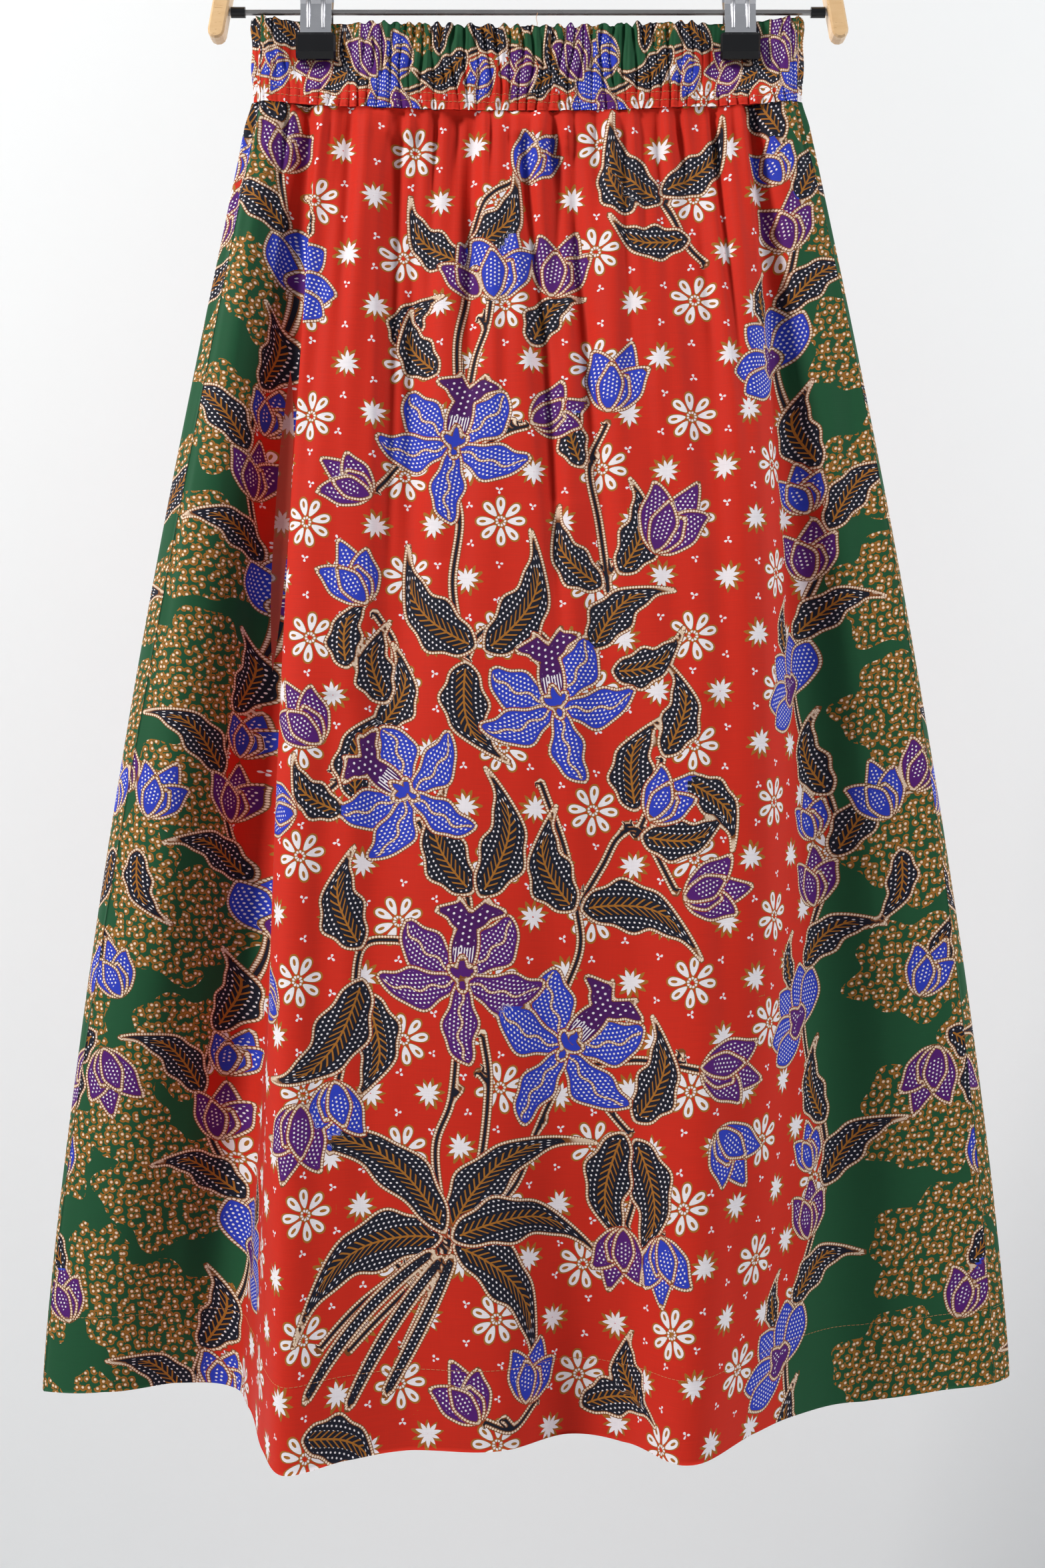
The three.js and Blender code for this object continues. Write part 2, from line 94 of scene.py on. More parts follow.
class Bench:
    """Adds nodes to one tree. An input is a socket, which is linked, or a value, which is set."""

    def __init__(self, tree):
        self.tree = tree

    def node(self, kind, inputs=(), output=0, **settings):
        made = self.tree.nodes.new(kind)
        for name, value in settings.items():
            setattr(made, name, value)
        pairs = inputs.items() if isinstance(inputs, dict) else enumerate(inputs)
        for name, value in pairs:
            if isinstance(value, bpy.types.NodeSocket):
                self.tree.links.new(value, made.inputs[name])
            elif value is not None:
                made.inputs[name].default_value = value
        return made.outputs[output]

    def math(self, operation, *values, clamp=False):
        return self.node("ShaderNodeMath", values, operation=operation, use_clamp=clamp)

    def times(self, a, b):
        return self.math("MULTIPLY", a, b)

    def plus(self, a, b):
        return self.math("ADD", a, b)

    def minus(self, a, b, clamp=False):
        return self.math("SUBTRACT", a, b, clamp=clamp)

    def over(self, a, b, clamp=False):
        return self.math("DIVIDE", a, b, clamp=clamp)

    def below(self, a, b):
        return self.math("LESS_THAN", a, b)

    def above(self, a, b):
        return self.math("GREATER_THAN", a, b)

    def larger(self, a, b):
        return self.math("MAXIMUM", a, b)

    def size(self, a):
        return self.math("ABSOLUTE", a)

    def fraction(self, a):
        return self.math("FRACT", a)

    def angle(self, down, across):
        return self.math("ARCTAN2", down, across)

    def vector(self, operation, *values, output=0):
        return self.node("ShaderNodeVectorMath", values, output, operation=operation)

    def length(self, x, y):
        return self.vector("LENGTH", self.join(x, y), output=1)

    def noise(self, scale, detail, place=None, **more):
        """A noise texture at a place, or else at the object's own coordinates."""
        if place is None:
            place = self.node("ShaderNodeTexCoord", output=3)
        inputs = {"Vector": place, "Scale": scale, "Detail": detail, **more}
        return self.node("ShaderNodeTexNoise", inputs)

    def blend(self, share, under, over):
        return self.node("ShaderNodeMix", {0: share, 2: under, 3: over})

    def split(self, value):
        made = self.tree.nodes.new("ShaderNodeSeparateXYZ")
        self.tree.links.new(value, made.inputs[0])
        return made.outputs[0], made.outputs[1], made.outputs[2]

    def join(self, x=0.0, y=0.0, z=0.0):
        return self.node("ShaderNodeCombineXYZ", (x, y, z))

    def mix(self, share, under, over):
        inputs = {0: share, 6: under, 7: over}
        return self.node("ShaderNodeMix", inputs, 2, data_type="RGBA")

    def mix_vector(self, share, under, over):
        inputs = {0: share, 4: under, 5: over}
        return self.node("ShaderNodeMix", inputs, 1, data_type="VECTOR")

    def fade(self, value, start, end):
        """0 at start and 1 at end, or the other way about where start is the larger."""
        flip = start > end
        inputs = (value, min(start, end), max(start, end), float(flip), float(not flip))
        return self.node("ShaderNodeMapRange", inputs)

    def fade_by(self, value, start, width):
        """0 below start, 1 beyond start plus width, where start is a socket."""
        return self.over(self.minus(value, start), width, clamp=True)

    def attribute(self, name, output=1):
        return self.node("ShaderNodeAttribute", output=output, attribute_name=name)

    def group(self, tree, **inputs):
        made = self.tree.nodes.new("ShaderNodeGroup")
        made.node_tree = tree
        for name, value in inputs.items():
            socket = made.inputs[name.replace("_", " ")]
            if isinstance(value, bpy.types.NodeSocket):
                self.tree.links.new(value, socket)
            else:
                socket.default_value = value
        return made.outputs


SOCKETS = {"value": "NodeSocketFloat", "vector": "NodeSocketVector", "colour": "NodeSocketColor"}


def node_group(name, inputs, outputs, build):
    """A shader node group. build gets a bench and the inputs by name, and returns the outputs."""
    tree = bpy.data.node_groups.new(name, "ShaderNodeTree")
    for label, (kind, value) in inputs.items():
        socket = tree.interface.new_socket(label, in_out="INPUT", socket_type=SOCKETS[kind])
        socket.default_value = value
    for label, kind in outputs.items():
        tree.interface.new_socket(label, in_out="OUTPUT", socket_type=SOCKETS[kind])
    bench = Bench(tree)
    entry = tree.nodes.new("NodeGroupInput")
    ends = tree.nodes.new("NodeGroupOutput")
    made = build(bench, {label: entry.outputs[label] for label in inputs})
    for label, socket in made.items():
        tree.links.new(socket, ends.inputs[label])
    return tree


def new_material(name, **shader):
    """A material with one Principled shader, its bench and the shader's inputs."""
    material = bpy.data.materials.new(name)
    material.use_nodes = True
    principled = material.node_tree.nodes["Principled BSDF"]
    for label, value in shader.items():
        principled.inputs[label.replace("_", " ")].default_value = value
    return material, Bench(material.node_tree), principled.inputs


def feed(bench, shader, **sockets):
    for label, socket in sockets.items():
        bench.tree.links.new(socket, shader[label.replace("_", " ")])


print("node helper ready")

# %% [markdown]
# The room is a pale wall behind the skirt and a pale floor well below it. The wall must
# not hide the skirt from behind, so its back face is see-through, and light passes it to reach
# the skirt's back. That is stage craft only: no part of the skirt is made this way.

# %% Wall and floor
WALL_Y = 600.0
WALL_REACH = 2600
WALL_TOP = 1200
FLOOR_Z = -1480.0
FLOOR_REACH = 4000


def stage_plane(name, corners, material):
    mesh = bpy.data.meshes.new(name)
    mesh.from_pydata([Vector(c) * MM for c in corners], [], [(0, 1, 2, 3)])
    mesh.materials.append(material)
    add_object(name, mesh)


def wall_paint():
    material, bench, shader = new_material("wall_paint", Roughness=0.9)
    blotch = bench.noise(1.7, 3.0)
    tone = bench.mix(blotch, srgb(223, 225, 226), srgb(229, 231, 231))
    feed(bench, shader, Base_Color=tone)
    behind = bench.node("ShaderNodeNewGeometry", output=6)
    shadow_ray = bench.node("ShaderNodeLightPath", output=1)
    see_through = bench.larger(behind, shadow_ray)
    clear = bench.node("ShaderNodeBsdfTransparent")
    paint = material.node_tree.nodes["Principled BSDF"].outputs[0]
    both = bench.node("ShaderNodeMixShader", (see_through, paint, clear))
    ends = material.node_tree.nodes["Material Output"].inputs[0]
    material.node_tree.links.new(both, ends)
    return material


def floor_paint():
    material, bench, shader = new_material("floor_paint", Roughness=0.7)
    blotch = bench.noise(3.0, 4.0)
    feed(bench, shader, Base_Color=bench.mix(blotch, srgb(196, 197, 200), srgb(207, 208, 210)))
    return material


wall_corners = [(-WALL_REACH, WALL_Y, FLOOR_Z), (WALL_REACH, WALL_Y, FLOOR_Z),
                (WALL_REACH, WALL_Y, WALL_TOP), (-WALL_REACH, WALL_Y, WALL_TOP)]
stage_plane("wall", wall_corners, wall_paint())
sides = ((-1, -1), (1, -1), (1, 1), (-1, 1))
floor_corners = [(x * FLOOR_REACH, y * FLOOR_REACH, FLOOR_Z) for x, y in sides]
stage_plane("floor", floor_corners, floor_paint())
print("wall", WALL_Y, "mm behind the hanger")

# %% [markdown]
# A window at the upper left lights the folds and a wider one at the right fills them. The recess
# behind the left fold is turned away from one and hidden from the other, so it goes dark, as in
# the picture. Two lights behind the skirt brighten only the wall, and one behind the wall serves
# the views from behind.

# %% Lights
def softbox(name, spot, target, size, watts, colour=(1, 1, 1)):
    data = bpy.data.lights.new(name, "AREA")
    data.shape = "RECTANGLE"
    data.size, data.size_y = size
    data.energy = watts
    data.color = colour
    lamp = add_object(name, data)
    lamp.location = Vector(spot)
    lamp.rotation_mode = "QUATERNION"
    lamp.rotation_quaternion = (Vector(target) - Vector(spot)).to_track_quat("-Z", "Y")
    lamp.visible_camera = False


softbox("key_light", (-2.0, -1.3, 1.2), (0.0, 0.0, -0.2), (0.5, 0.5), 86, (1.0, 0.99, 0.97))
softbox("fill_light", (2.2, -1.05, 1.2), (0.0, 0.0, -0.3), (0.8, 0.8), 47, (0.98, 0.98, 1.0))
softbox("wall_light_left", (-1.5, 0.2, -0.4), (-0.2, 0.6, -0.5), (0.5, 0.5), 2.3, (0.95, 1.0, 0.98))
softbox("wall_light_right", (1.5, 0.2, -0.3), (0.2, 0.6, -0.45), (0.5, 0.5), 5.2, (0.95, 1.0, 0.98))
softbox("back_light", (-1.9, 1.9, 0.6), (0.0, 0.0, -0.5), (1.0, 1.0), 16)
world = bpy.data.worlds.new("room_light")
bpy.context.scene.world = world
world.use_nodes = True
world.node_tree.nodes["Background"].inputs[0].default_value = (0.93, 0.96, 1.0, 1.0)
sky = Bench(world.node_tree)
mirrored = sky.node("ShaderNodeLightPath", output=3)  # plated steel sees a brighter room
brightness = sky.math("MULTIPLY_ADD", mirrored, 0.3, 0.13)
world.node_tree.links.new(brightness, world.node_tree.nodes["Background"].inputs[1])
bpy.context.scene.view_settings.view_transform = "Standard"
print("windows left and right, and a soft room")

# %% [markdown]
# The skirt hangs in a few large folds. Each fold is followed from the waist seam to the hem by
# its place across and by how far it stands forward, at the waist, halfway and at the hem. A
# closed curve runs through the folds at every height. These are the same values as those of the
# solids. The cloth follows their form, and its gathers, creases and recesses depart from it, by up
# to 17 mm in the deepest recess.

# %% Folds
class Fold(NamedTuple):
    name: str
    x: tuple
    forward: tuple
    extra: float  # how much lower than its neighbours the hem hangs here


FRONT_FOLDS = [
    Fold("left seam", (-168, -249, -311), (6, -8, -24), 3),
    Fold("left wing", (-160, -226, -269), (9, 0, -8), -4),
    Fold("left wing inner", (-149, -194, -226), (10, -6, -19), -4),
    Fold("left recess", (-140, -167, -194), (10, -13, -17), 0),
    Fold("left return", (-134, -153, -175), (10, 4, 8), 0),
    Fold("left flank", (-130, -154, -160), (10, 32, 58), 3),
    Fold("left crest", (-122, -143, -143), (10, 46, 93), 2),
    Fold("left slope", (-104, -114, -110), (10, 48, 79), 0),
    Fold("middle left", (-70, -78, -74), (10, 47, 65), 0),
    Fold("middle", (-14, -18, -18), (10, 51, 66), 0),
    Fold("trough", (26, 26, 26), (10, 48, 36), 3),
    Fold("rise", (56, 60, 58), (10, 49, 43), 5),
    Fold("right crest", (90, 104, 94), (10, 51, 84), 0),
    Fold("right ridge", (120, 144, 136), (10, 42, 44), 0),
    Fold("right flank", (132, 162, 164), (10, 16, 16), 2),
    Fold("right wing inner", (146, 192, 214), (10, -4, -7), 4),
    Fold("right wing", (160, 228, 264), (9, -8, -18), 0),
    Fold("right seam", (169, 253, 299), (5, -12, -24), -2),
]
BACK_FOLDS = [
    Fold("right turn", (172, 257, 312), (-1, -26, -36), -3),
    Fold("back right", (158, 224, 262), (-9, -37, -54), -2),
    Fold("back trough a", (108, 150, 178), (-10, -31, -42), 0),
    Fold("back ridge a", (62, 86, 104), (-10, -43, -62), 0),
    Fold("back trough b", (12, 18, 24), (-10, -34, -46), 0),
    Fold("back ridge b", (-44, -58, -70), (-10, -44, -63), 0),
    Fold("back trough c", (-98, -132, -152), (-10, -32, -44), 0),
    Fold("back left", (-156, -222, -260), (-9, -38, -54), -2),
    Fold("left turn", (-173, -259, -310), (-2, -25, -38), 2),
]
LOOP = FRONT_FOLDS + BACK_FOLDS
LEFT_SEAM = 0
RIGHT_SEAM = len(FRONT_FOLDS) - 1
BAND_HEIGHT = 53.0
BAND_TOP_MIDDLE = -12.2
BAND_SAG = 4.6
CLIP_X = 133.0
JAW_WIDTH = 25.0
SKIRT_DROP = 818.0
RIDGE_DROP = 0.13
CLOTH_WALL = 1.3
HEM_WALL = 2.1
HEM_TURN = 48.0
GAP = 0.3
BAND_PINCHED = 0.68
SEAM_PINCHED = 0.3
BAND_HELD = 30.0


def smooth(low, high, value):
    share = np.clip((value - low) / (high - low), 0, 1)
    return share * share * (3 - 2 * share)


def flare(share):
    """How far the skirt has opened: fast at the hip, slow at the hem."""
    return 1 - (1 - share) ** 1.25


def through_three(values, place, middle):
    start = (place - middle) * (place - 1) / middle
    half = place * (place - 1) / (middle * (middle - 1))
    end = place * (place - middle) / (1 - middle)
    return values[0] * start + values[1] * half + values[2] * end


def section(shares, places):
    """Points (rows, columns, 2) of the closed fold curve, in mm, for shares of the drop."""
    opened = flare(shares)
    x = np.stack([through_three(fold.x, opened, flare(0.5)) for fold in LOOP], -1)
    y = -np.stack([through_three(fold.forward, shares, 0.5) for fold in LOOP], -1)
    knots = np.stack([x, y], -1)
    first = np.floor(places).astype(int)
    step = (places - first)[None, :, None]
    before, start, end, after = (knots[:, (first + k) % len(LOOP)] for k in (-1, 0, 1, 2))

    def pace(a, b):
        return np.maximum(np.sum((a - b) ** 2, -1, keepdims=True) ** 0.25, 1e-4)

    pace_in, pace_on, pace_out = pace(before, start), pace(start, end), pace(end, after)
    leave = (start - before) / pace_in - (end - before) / (pace_in + pace_on)
    leave = (leave + (end - start) / pace_on) * pace_on
    arrive = (end - start) / pace_on - (after - start) / (pace_on + pace_out)
    arrive = (arrive + (after - end) / pace_out) * pace_on
    cubic = 2 * start - 2 * end + leave + arrive
    square = -3 * start + 3 * end - 2 * leave - arrive
    return start + leave * step + square * step ** 2 + cubic * step ** 3


def running_length(points):
    """Length along each row of points, from its first column."""
    steps = np.linalg.norm(np.diff(points, axis=1), axis=-1)
    return np.concatenate([np.zeros((len(points), 1)), np.cumsum(steps, 1)], 1)


def even_places(start, end, count, share):
    """Places that lie evenly along the cloth at one height."""
    fine = np.linspace(start, end, 4000)
    length = running_length(section(np.array([share]), fine))[0]
    return np.interp(np.linspace(0, length[-1], count), length, fine)


def band_top(x):
    return ROD_Z + BAND_TOP_MIDDLE + BAND_SAG * (x / CLIP_X) ** 2


def pinch_at(x):
    """How strongly a jaw flattens the cloth at a place across."""
    half = JAW_WIDTH / 2
    return 1 - smooth(half + 1, half + 26, abs(abs(x) - CLIP_X))


hem_length = running_length(section(np.array([1.0]), np.linspace(0, RIGHT_SEAM, 2000)))[0, -1]
print("front hem", round(hem_length), "mm round")

# %% [markdown]
# Between the large folds lie softer creases, made by the weight of the cloth and by the gathers
# above. They are troughs or ridges that start and fade out at their own heights. The gathers
# themselves are waves along the seam, tight at the seam and opening out below it.

# %% Creases and gathers
class Crease(NamedTuple):
    x: tuple  # place across at its upper and lower end
    span: tuple  # shares of the drop where it starts and ends
    width: float
    height: float  # under 0 a trough


FRONT_CREASES = [
    Crease((-56, -106), (0.0, 1.0), 15, -7),
    Crease((14, 72), (0.02, 0.78), 17, -5),
    Crease((-34, -44), (0.0, 0.42), 9, -4.5),
    Crease((-84, -112), (0.0, 0.4), 9, -3.5),
    Crease((44, 96), (0.0, 0.5), 10, -4),
    Crease((78, 112), (0.0, 0.34), 8, -4),
    Crease((104, 128), (0.0, 0.6), 10, -3.5),
    Crease((-8, -6), (0.0, 0.3), 8, 3.5),
]
FRONT_FINE_CREASES = [
    Crease((-104, -122), (0.0, 0.22), 5, -2.2),
    Crease((-66, -80), (0.0, 0.27), 5, 2.0),
    Crease((-20, -24), (0.0, 0.2), 4.5, -2.0),
    Crease((26, 40), (0.0, 0.26), 5, -2.4),
    Crease((60, 84), (0.0, 0.3), 5, 2.2),
    Crease((92, 122), (0.0, 0.26), 5, -2.2),
    Crease((20, 34), (0.3, 0.9), 12, 1.8),
    Crease((-50, -44), (0.35, 1.0), 14, 1.6),
    Crease((110, 128), (0.45, 1.0), 9, -2.0),
    Crease((-78, -72), (0.0, 0.36), 6.5, -5.5),
    Crease((22, 52), (0.03, 0.42), 6, -5.0),
    Crease((-92, -100), (0.0, 0.3), 6, 3.5),
    Crease((-40, -34), (0.0, 0.24), 5.5, -4.0),
    Crease((6, 2), (0.0, 0.2), 5.5, 3.0),
    Crease((66, 76), (0.0, 0.22), 5.5, -4.0),
    Crease((112, 140), (0.0, 0.3), 6, -4.5),
    Crease((-118, -140), (0.0, 0.34), 6, -4.0),
    Crease((-74, -92), (0.02, 0.55), 8, -5.0),
    Crease((-46, -52), (0.0, 0.14), 6, -5.0),
    Crease((-3, 22), (0.02, 0.46), 5.5, -8.5),
    Crease((-84, -90), (0.02, 0.38), 5, -8.0),
    Crease((-120, -128), (0.45, 1.0), 12, -4.5),
    Crease((52, 60), (0.0, 0.2), 5, 4.0),
    Crease((-28, -20), (0.0, 0.26), 5, 4.0),
    Crease((-200, -236), (0.1, 0.8), 8, 1.4),
    Crease((196, 236), (0.1, 0.8), 8, -1.6),
]
BACK_CREASES = [
    Crease((-130, -170), (0.0, 0.6), 13, -4),
    Crease((-72, -96), (0.0, 0.45), 10, -4),
    Crease((-18, -20), (0.0, 0.7), 14, -4.5),
    Crease((34, 52), (0.0, 0.4), 9, -4),
    Crease((82, 118), (0.0, 0.55), 12, -4),
    Crease((132, 182), (0.0, 0.5), 11, -4),
]
BACK_FINE_CREASES = [
    Crease((-100, -116), (0.0, 0.24), 5, 2.0),
    Crease((-46, -56), (0.0, 0.3), 5, -2.2),
    Crease((8, 14), (0.0, 0.25), 5, 2.0),
    Crease((60, 78), (0.0, 0.28), 5, -2.2),
    Crease((104, 140), (0.0, 0.22), 5, 2.0),
    Crease((-60, -90), (0.4, 1.0), 13, -1.8),
    Crease((70, 92), (0.4, 1.0), 13, 1.8),
]
BAND_GATHERS = 51
GATHER_PITCH = 338.7 / BAND_GATHERS


class Recess(NamedTuple):
    place: float  # which fold it follows
    spread: float  # in folds
    height: float


FRONT_RECESSES = [Recess(2.85, 0.65, -17.0), Recess(1.1, 0.7, 4.0), Recess(14.75, 0.5, -12.0)]


def recess_height(recesses, places, share):
    """Soft troughs or ridges that follow a fold all the way down, strongest near the middle."""
    fade = np.sin(np.pi * np.clip((share + 0.06) / 1.45, 0, 1) ** 0.7)
    deep = [r.height * np.exp(-(((places - r.place) / r.spread) ** 2)) for r in recesses]
    return fade * sum(deep, np.zeros_like(places))


def crease_height(creases, x, share):
    height = np.zeros_like(x)
    for crease in creases:
        start, end = crease.span
        along = np.clip((share - start) / (end - start), 0, 1)
        fade = np.sin(np.pi * np.sqrt(along)) ** 0.8 * ((share >= start) & (share <= end))
        middle = crease.x[0] + (crease.x[1] - crease.x[0]) * flare(along)
        height += crease.height * np.nan_to_num(fade) * np.exp(-(((x - middle) / crease.width) ** 2))
    return height


def lowest_near(height, reach):
    """The least height among the neighbours in each row, so that a coarse face stays behind."""
    padded = np.pad(height, ((0, 0), (reach, reach)), "edge")
    count = height.shape[1]
    return np.min([padded[:, k:k + count] for k in range(2 * reach + 1)], 0)


def gather_wave(waist_length, share):
    """Waves along the seam: one for each gather, and wider ones that reach further down."""
    w = waist_length
    tight = np.sin(TURN * w / GATHER_PITCH + 0.7 * np.sin(w / 13.0))
    wide = np.sin(TURN * w / 12.6 + 1.6 * np.sin(w / 21.0 + 3 * share) + 0.6 * np.sin(w / 7.7))
    broad = np.sin(TURN * w / 23.0 + 2.1 * np.sin(w / 37.0 - 2 * share))
    broad = np.sign(broad) * np.abs(broad) ** 0.75
    unevenly = 0.75 + 0.25 * np.sin(w / 9.1) * np.sin(w / 23.0)
    start = 0.45 + 0.55 * smooth(0, 0.02, share)
    fall_tight = 1.5 * np.exp(-share / 0.03)
    fall_wide = 3.4 * np.exp(-share / 0.1)
    fall_broad = 2.7 * np.exp(-share / 0.3)
    return start * unevenly * (tight * fall_tight + wide * fall_wide + broad * fall_broad)


print(len(FRONT_CREASES) + len(FRONT_FINE_CREASES), "creases in the front")

# %% [markdown]
# A skirt panel is one A-line piece of cotton. Here it is a thin closed shell: a fine outer face
# that also carries the print, and a coarser inner face, joined along the four edges. A solidify
# modifier would be shorter, but it would double the fine face and leave less of it for the print.

# %% Cloth shell
COARSE = 3  # one inner quad lies behind a square of this many outer quads


def grid_numbers(rows, columns, first=0):
    return first + np.arange(rows * columns).reshape(rows, columns)


def quads_of(numbers, flip=False):
    a, b, c, d = numbers[:-1, :-1], numbers[1:, :-1], numbers[1:, 1:], numbers[:-1, 1:]
    order = (a, d, c, b) if flip else (a, b, c, d)
    return np.stack(order, -1).reshape(-1, 4)


def rim_of(outer, inner):
    """Triangles between a fine edge and a coarse edge, COARSE fine steps to each coarse step."""
    faces = []
    for k in range(len(inner) - 1):
        near, far = inner[k], inner[k + 1]
        o = outer[k * COARSE:(k + 1) * COARSE + 1]
        half = len(o) // 2
        faces += [(o[i], o[i + 1], near) for i in range(half)]
        faces.append((o[half], far, near))
        faces += [(o[i], o[i + 1], far) for i in range(half, len(o) - 1)]
    return faces


def cloth_shell(name, outer, inner, fields, materials):
    """outer (rows, columns, 3) and the coarser inner, in mm. fields are the outer's attributes."""
    rows, columns = outer.shape[:2]
    front = grid_numbers(rows, columns)
    back = grid_numbers(*inner.shape[:2], first=front.size)
    faces = [tuple(q) for q in quads_of(front).tolist()]
    outer_count = len(faces)
    faces += [tuple(q) for q in quads_of(back, flip=True).tolist()]
    inner_end = len(faces)
    faces += [f[::-1] for f in rim_of(front[0].tolist(), back[0].tolist())]
    faces += rim_of(front[-1].tolist(), back[-1].tolist())
    faces += rim_of(front[:, 0].tolist(), back[:, 0].tolist())
    faces += [f[::-1] for f in rim_of(front[:, -1].tolist(), back[:, -1].tolist())]
    mesh = bpy.data.meshes.new(name)
    corners = np.concatenate([outer.reshape(-1, 3), inner.reshape(-1, 3)]) * MM
    mesh.from_pydata(corners.tolist(), [], faces)
    mesh.polygons.foreach_set("use_smooth", [True] * len(faces))
    slots = [0] * outer_count + [1] * (inner_end - outer_count) + [0] * (len(faces) - inner_end)
    for material in materials:
        mesh.materials.append(material)
    mesh.polygons.foreach_set("material_index", slots)
    for label, values in fields.items():
        grid = values.reshape(rows, columns, 3)
        both = np.concatenate([grid.reshape(-1, 3), grid[::COARSE, ::COARSE].reshape(-1, 3)])
        attribute = mesh.attributes.new(label, "FLOAT_VECTOR", "POINT")
        attribute.data.foreach_set("vector", both.astype(np.float32).ravel())
    mesh.update()
    piece = add_object(name, mesh)
    triangles = sum(len(f) - 2 for f in faces)
    print(name, triangles, "triangles")
    return piece


def panel_form(places, shares, creases, recesses):
    """Outer and inner face of a skirt panel in mm."""
    share = shares[:, None]
    point = section(shares, places)
    turn = 1e-4
    along = section(shares, places + turn) - section(shares, places - turn)
    along /= np.linalg.norm(along, axis=-1, keepdims=True)
    out = np.stack([along[..., 1], -along[..., 0]], -1)
    point[:, 0] += along[:, 0] * GAP / 2
    point[:, -1] -= along[:, -1] * GAP / 2
    x = point[..., 0]
    point[..., 1] *= 1 - SEAM_PINCHED * pinch_at(x) * (1 - smooth(0, 0.12, share))
    waist = running_length(section(np.array([0.0]), places))
    ends = smooth(0, 5, waist) * smooth(0, 5, waist[:, -1:] - waist)
    deeper = 1 + 0.3 * smooth(0.03, 0.2, share)
    height = gather_wave(waist, share) + deeper * crease_height(creases, x, share)
    height = ends * (height + recess_height(recesses, places, share))
    outer_xy = point + out * height[..., None]
    wall = np.where(share > 1 - HEM_TURN / SKIRT_DROP, HEM_WALL, CLOTH_WALL)
    lowest = lowest_near(lowest_near(height, COARSE).T, COARSE).T
    inner_xy = point + out * (lowest - wall)[..., None]
    number = np.floor(places).astype(int)
    extras = np.array([fold.extra for fold in LOOP])
    lower = extras[number % len(LOOP)]
    lower = lower + (extras[(number + 1) % len(LOOP)] - lower) * (places - number)
    seam = band_top(LOOP[0].x[0]) - BAND_HEIGHT
    top = band_top(x) - BAND_HEIGHT - GAP / 2
    bottom = seam - SKIRT_DROP + RIDGE_DROP * point[..., 1] - lower * share
    z = (top + (bottom - top) * share)[..., None]
    return np.concatenate([outer_xy, z], -1), np.concatenate([inner_xy, z], -1)


print("shell maker ready")

# %% [markdown]
# The print is worked out in millimetres along the cloth: u across and v below the waist seam.
# Places are given on the flat cut. The gathers swallow part of its width near the waist, which
# the cut's fullness there tells, so a place is moved in by that and its flower keeps its size.

# %% Cloth coordinates
WAIST_CUT = 580.0  # the panel's cut width at the waist, before it is gathered


def cloth_coordinates(places, shares, middle_place):
    """u and v in mm along the hanging cloth, and each row's fullness."""
    length = running_length(section(shares, places))
    total = length[:, -1:]
    width = WAIST_CUT + (total[-1] - WAIST_CUT) * shares[:, None]
    column = np.interp(middle_place, places, np.arange(len(places)))
    low = int(column)
    middle = length[:, low] + (length[:, low + 1] - length[:, low]) * (column - low)
    u = length - middle[:, None]
    v = np.repeat(SKIRT_DROP * shares[:, None], len(places), 1)
    return u, v, (width / total)[:, 0]


# %% [markdown]
# Each flower or leaf is an outline. Every vertex stores how far it is from the nearest outline,
# and the shader finds the edge where that distance crosses zero, sharp even on a coarse grid.

# %% Print sheet
PRINT_LAYERS = 5
FAR = 40.0  # what a vertex stores where no outline is near
REACH = 7.0  # how far outside an outline its distance is stored
BEAD_PITCH = 1.75
LEAF, BLUE, PURPLE, LIP = 1.0, 2.0, 3.0, 4.0


def nearest_on_line(spots, line, closed):
    """Distance, running length and side of the nearest point of a line, for each spot."""
    start = line if closed else line[:-1]
    step = (np.roll(line, -1, 0) if closed else line[1:]) - start
    length = np.linalg.norm(step, axis=1)
    before = np.concatenate([[0], np.cumsum(length)[:-1]])
    away = spots[:, None] - start[None]
    part = np.clip((away * step).sum(-1) / np.maximum(length ** 2, 1e-9), 0, 1)
    gap = away - part[..., None] * step
    distance = np.linalg.norm(gap, axis=-1)
    best = distance.argmin(1)
    row = np.arange(len(spots))
    part, gap = part[row, best], gap[row, best]
    side = step[best, 0] * gap[:, 1] - step[best, 1] * gap[:, 0]
    return distance[row, best], before[best] + part * length[best], side, length.sum(), (best, part)


def inside_outline(spots, outline):
    start, end = outline, np.roll(outline, -1, 0)
    px, py = spots[:, :1], spots[:, 1:]
    crosses = (start[:, 1] > py) != (end[:, 1] > py)
    rise = np.where(end[:, 1] == start[:, 1], 1e-9, end[:, 1] - start[:, 1])
    at = start[:, 0] + (py - start[:, 1]) * (end[:, 0] - start[:, 0]) / rise
    return (crosses & (px < at)).sum(1) % 2 == 1


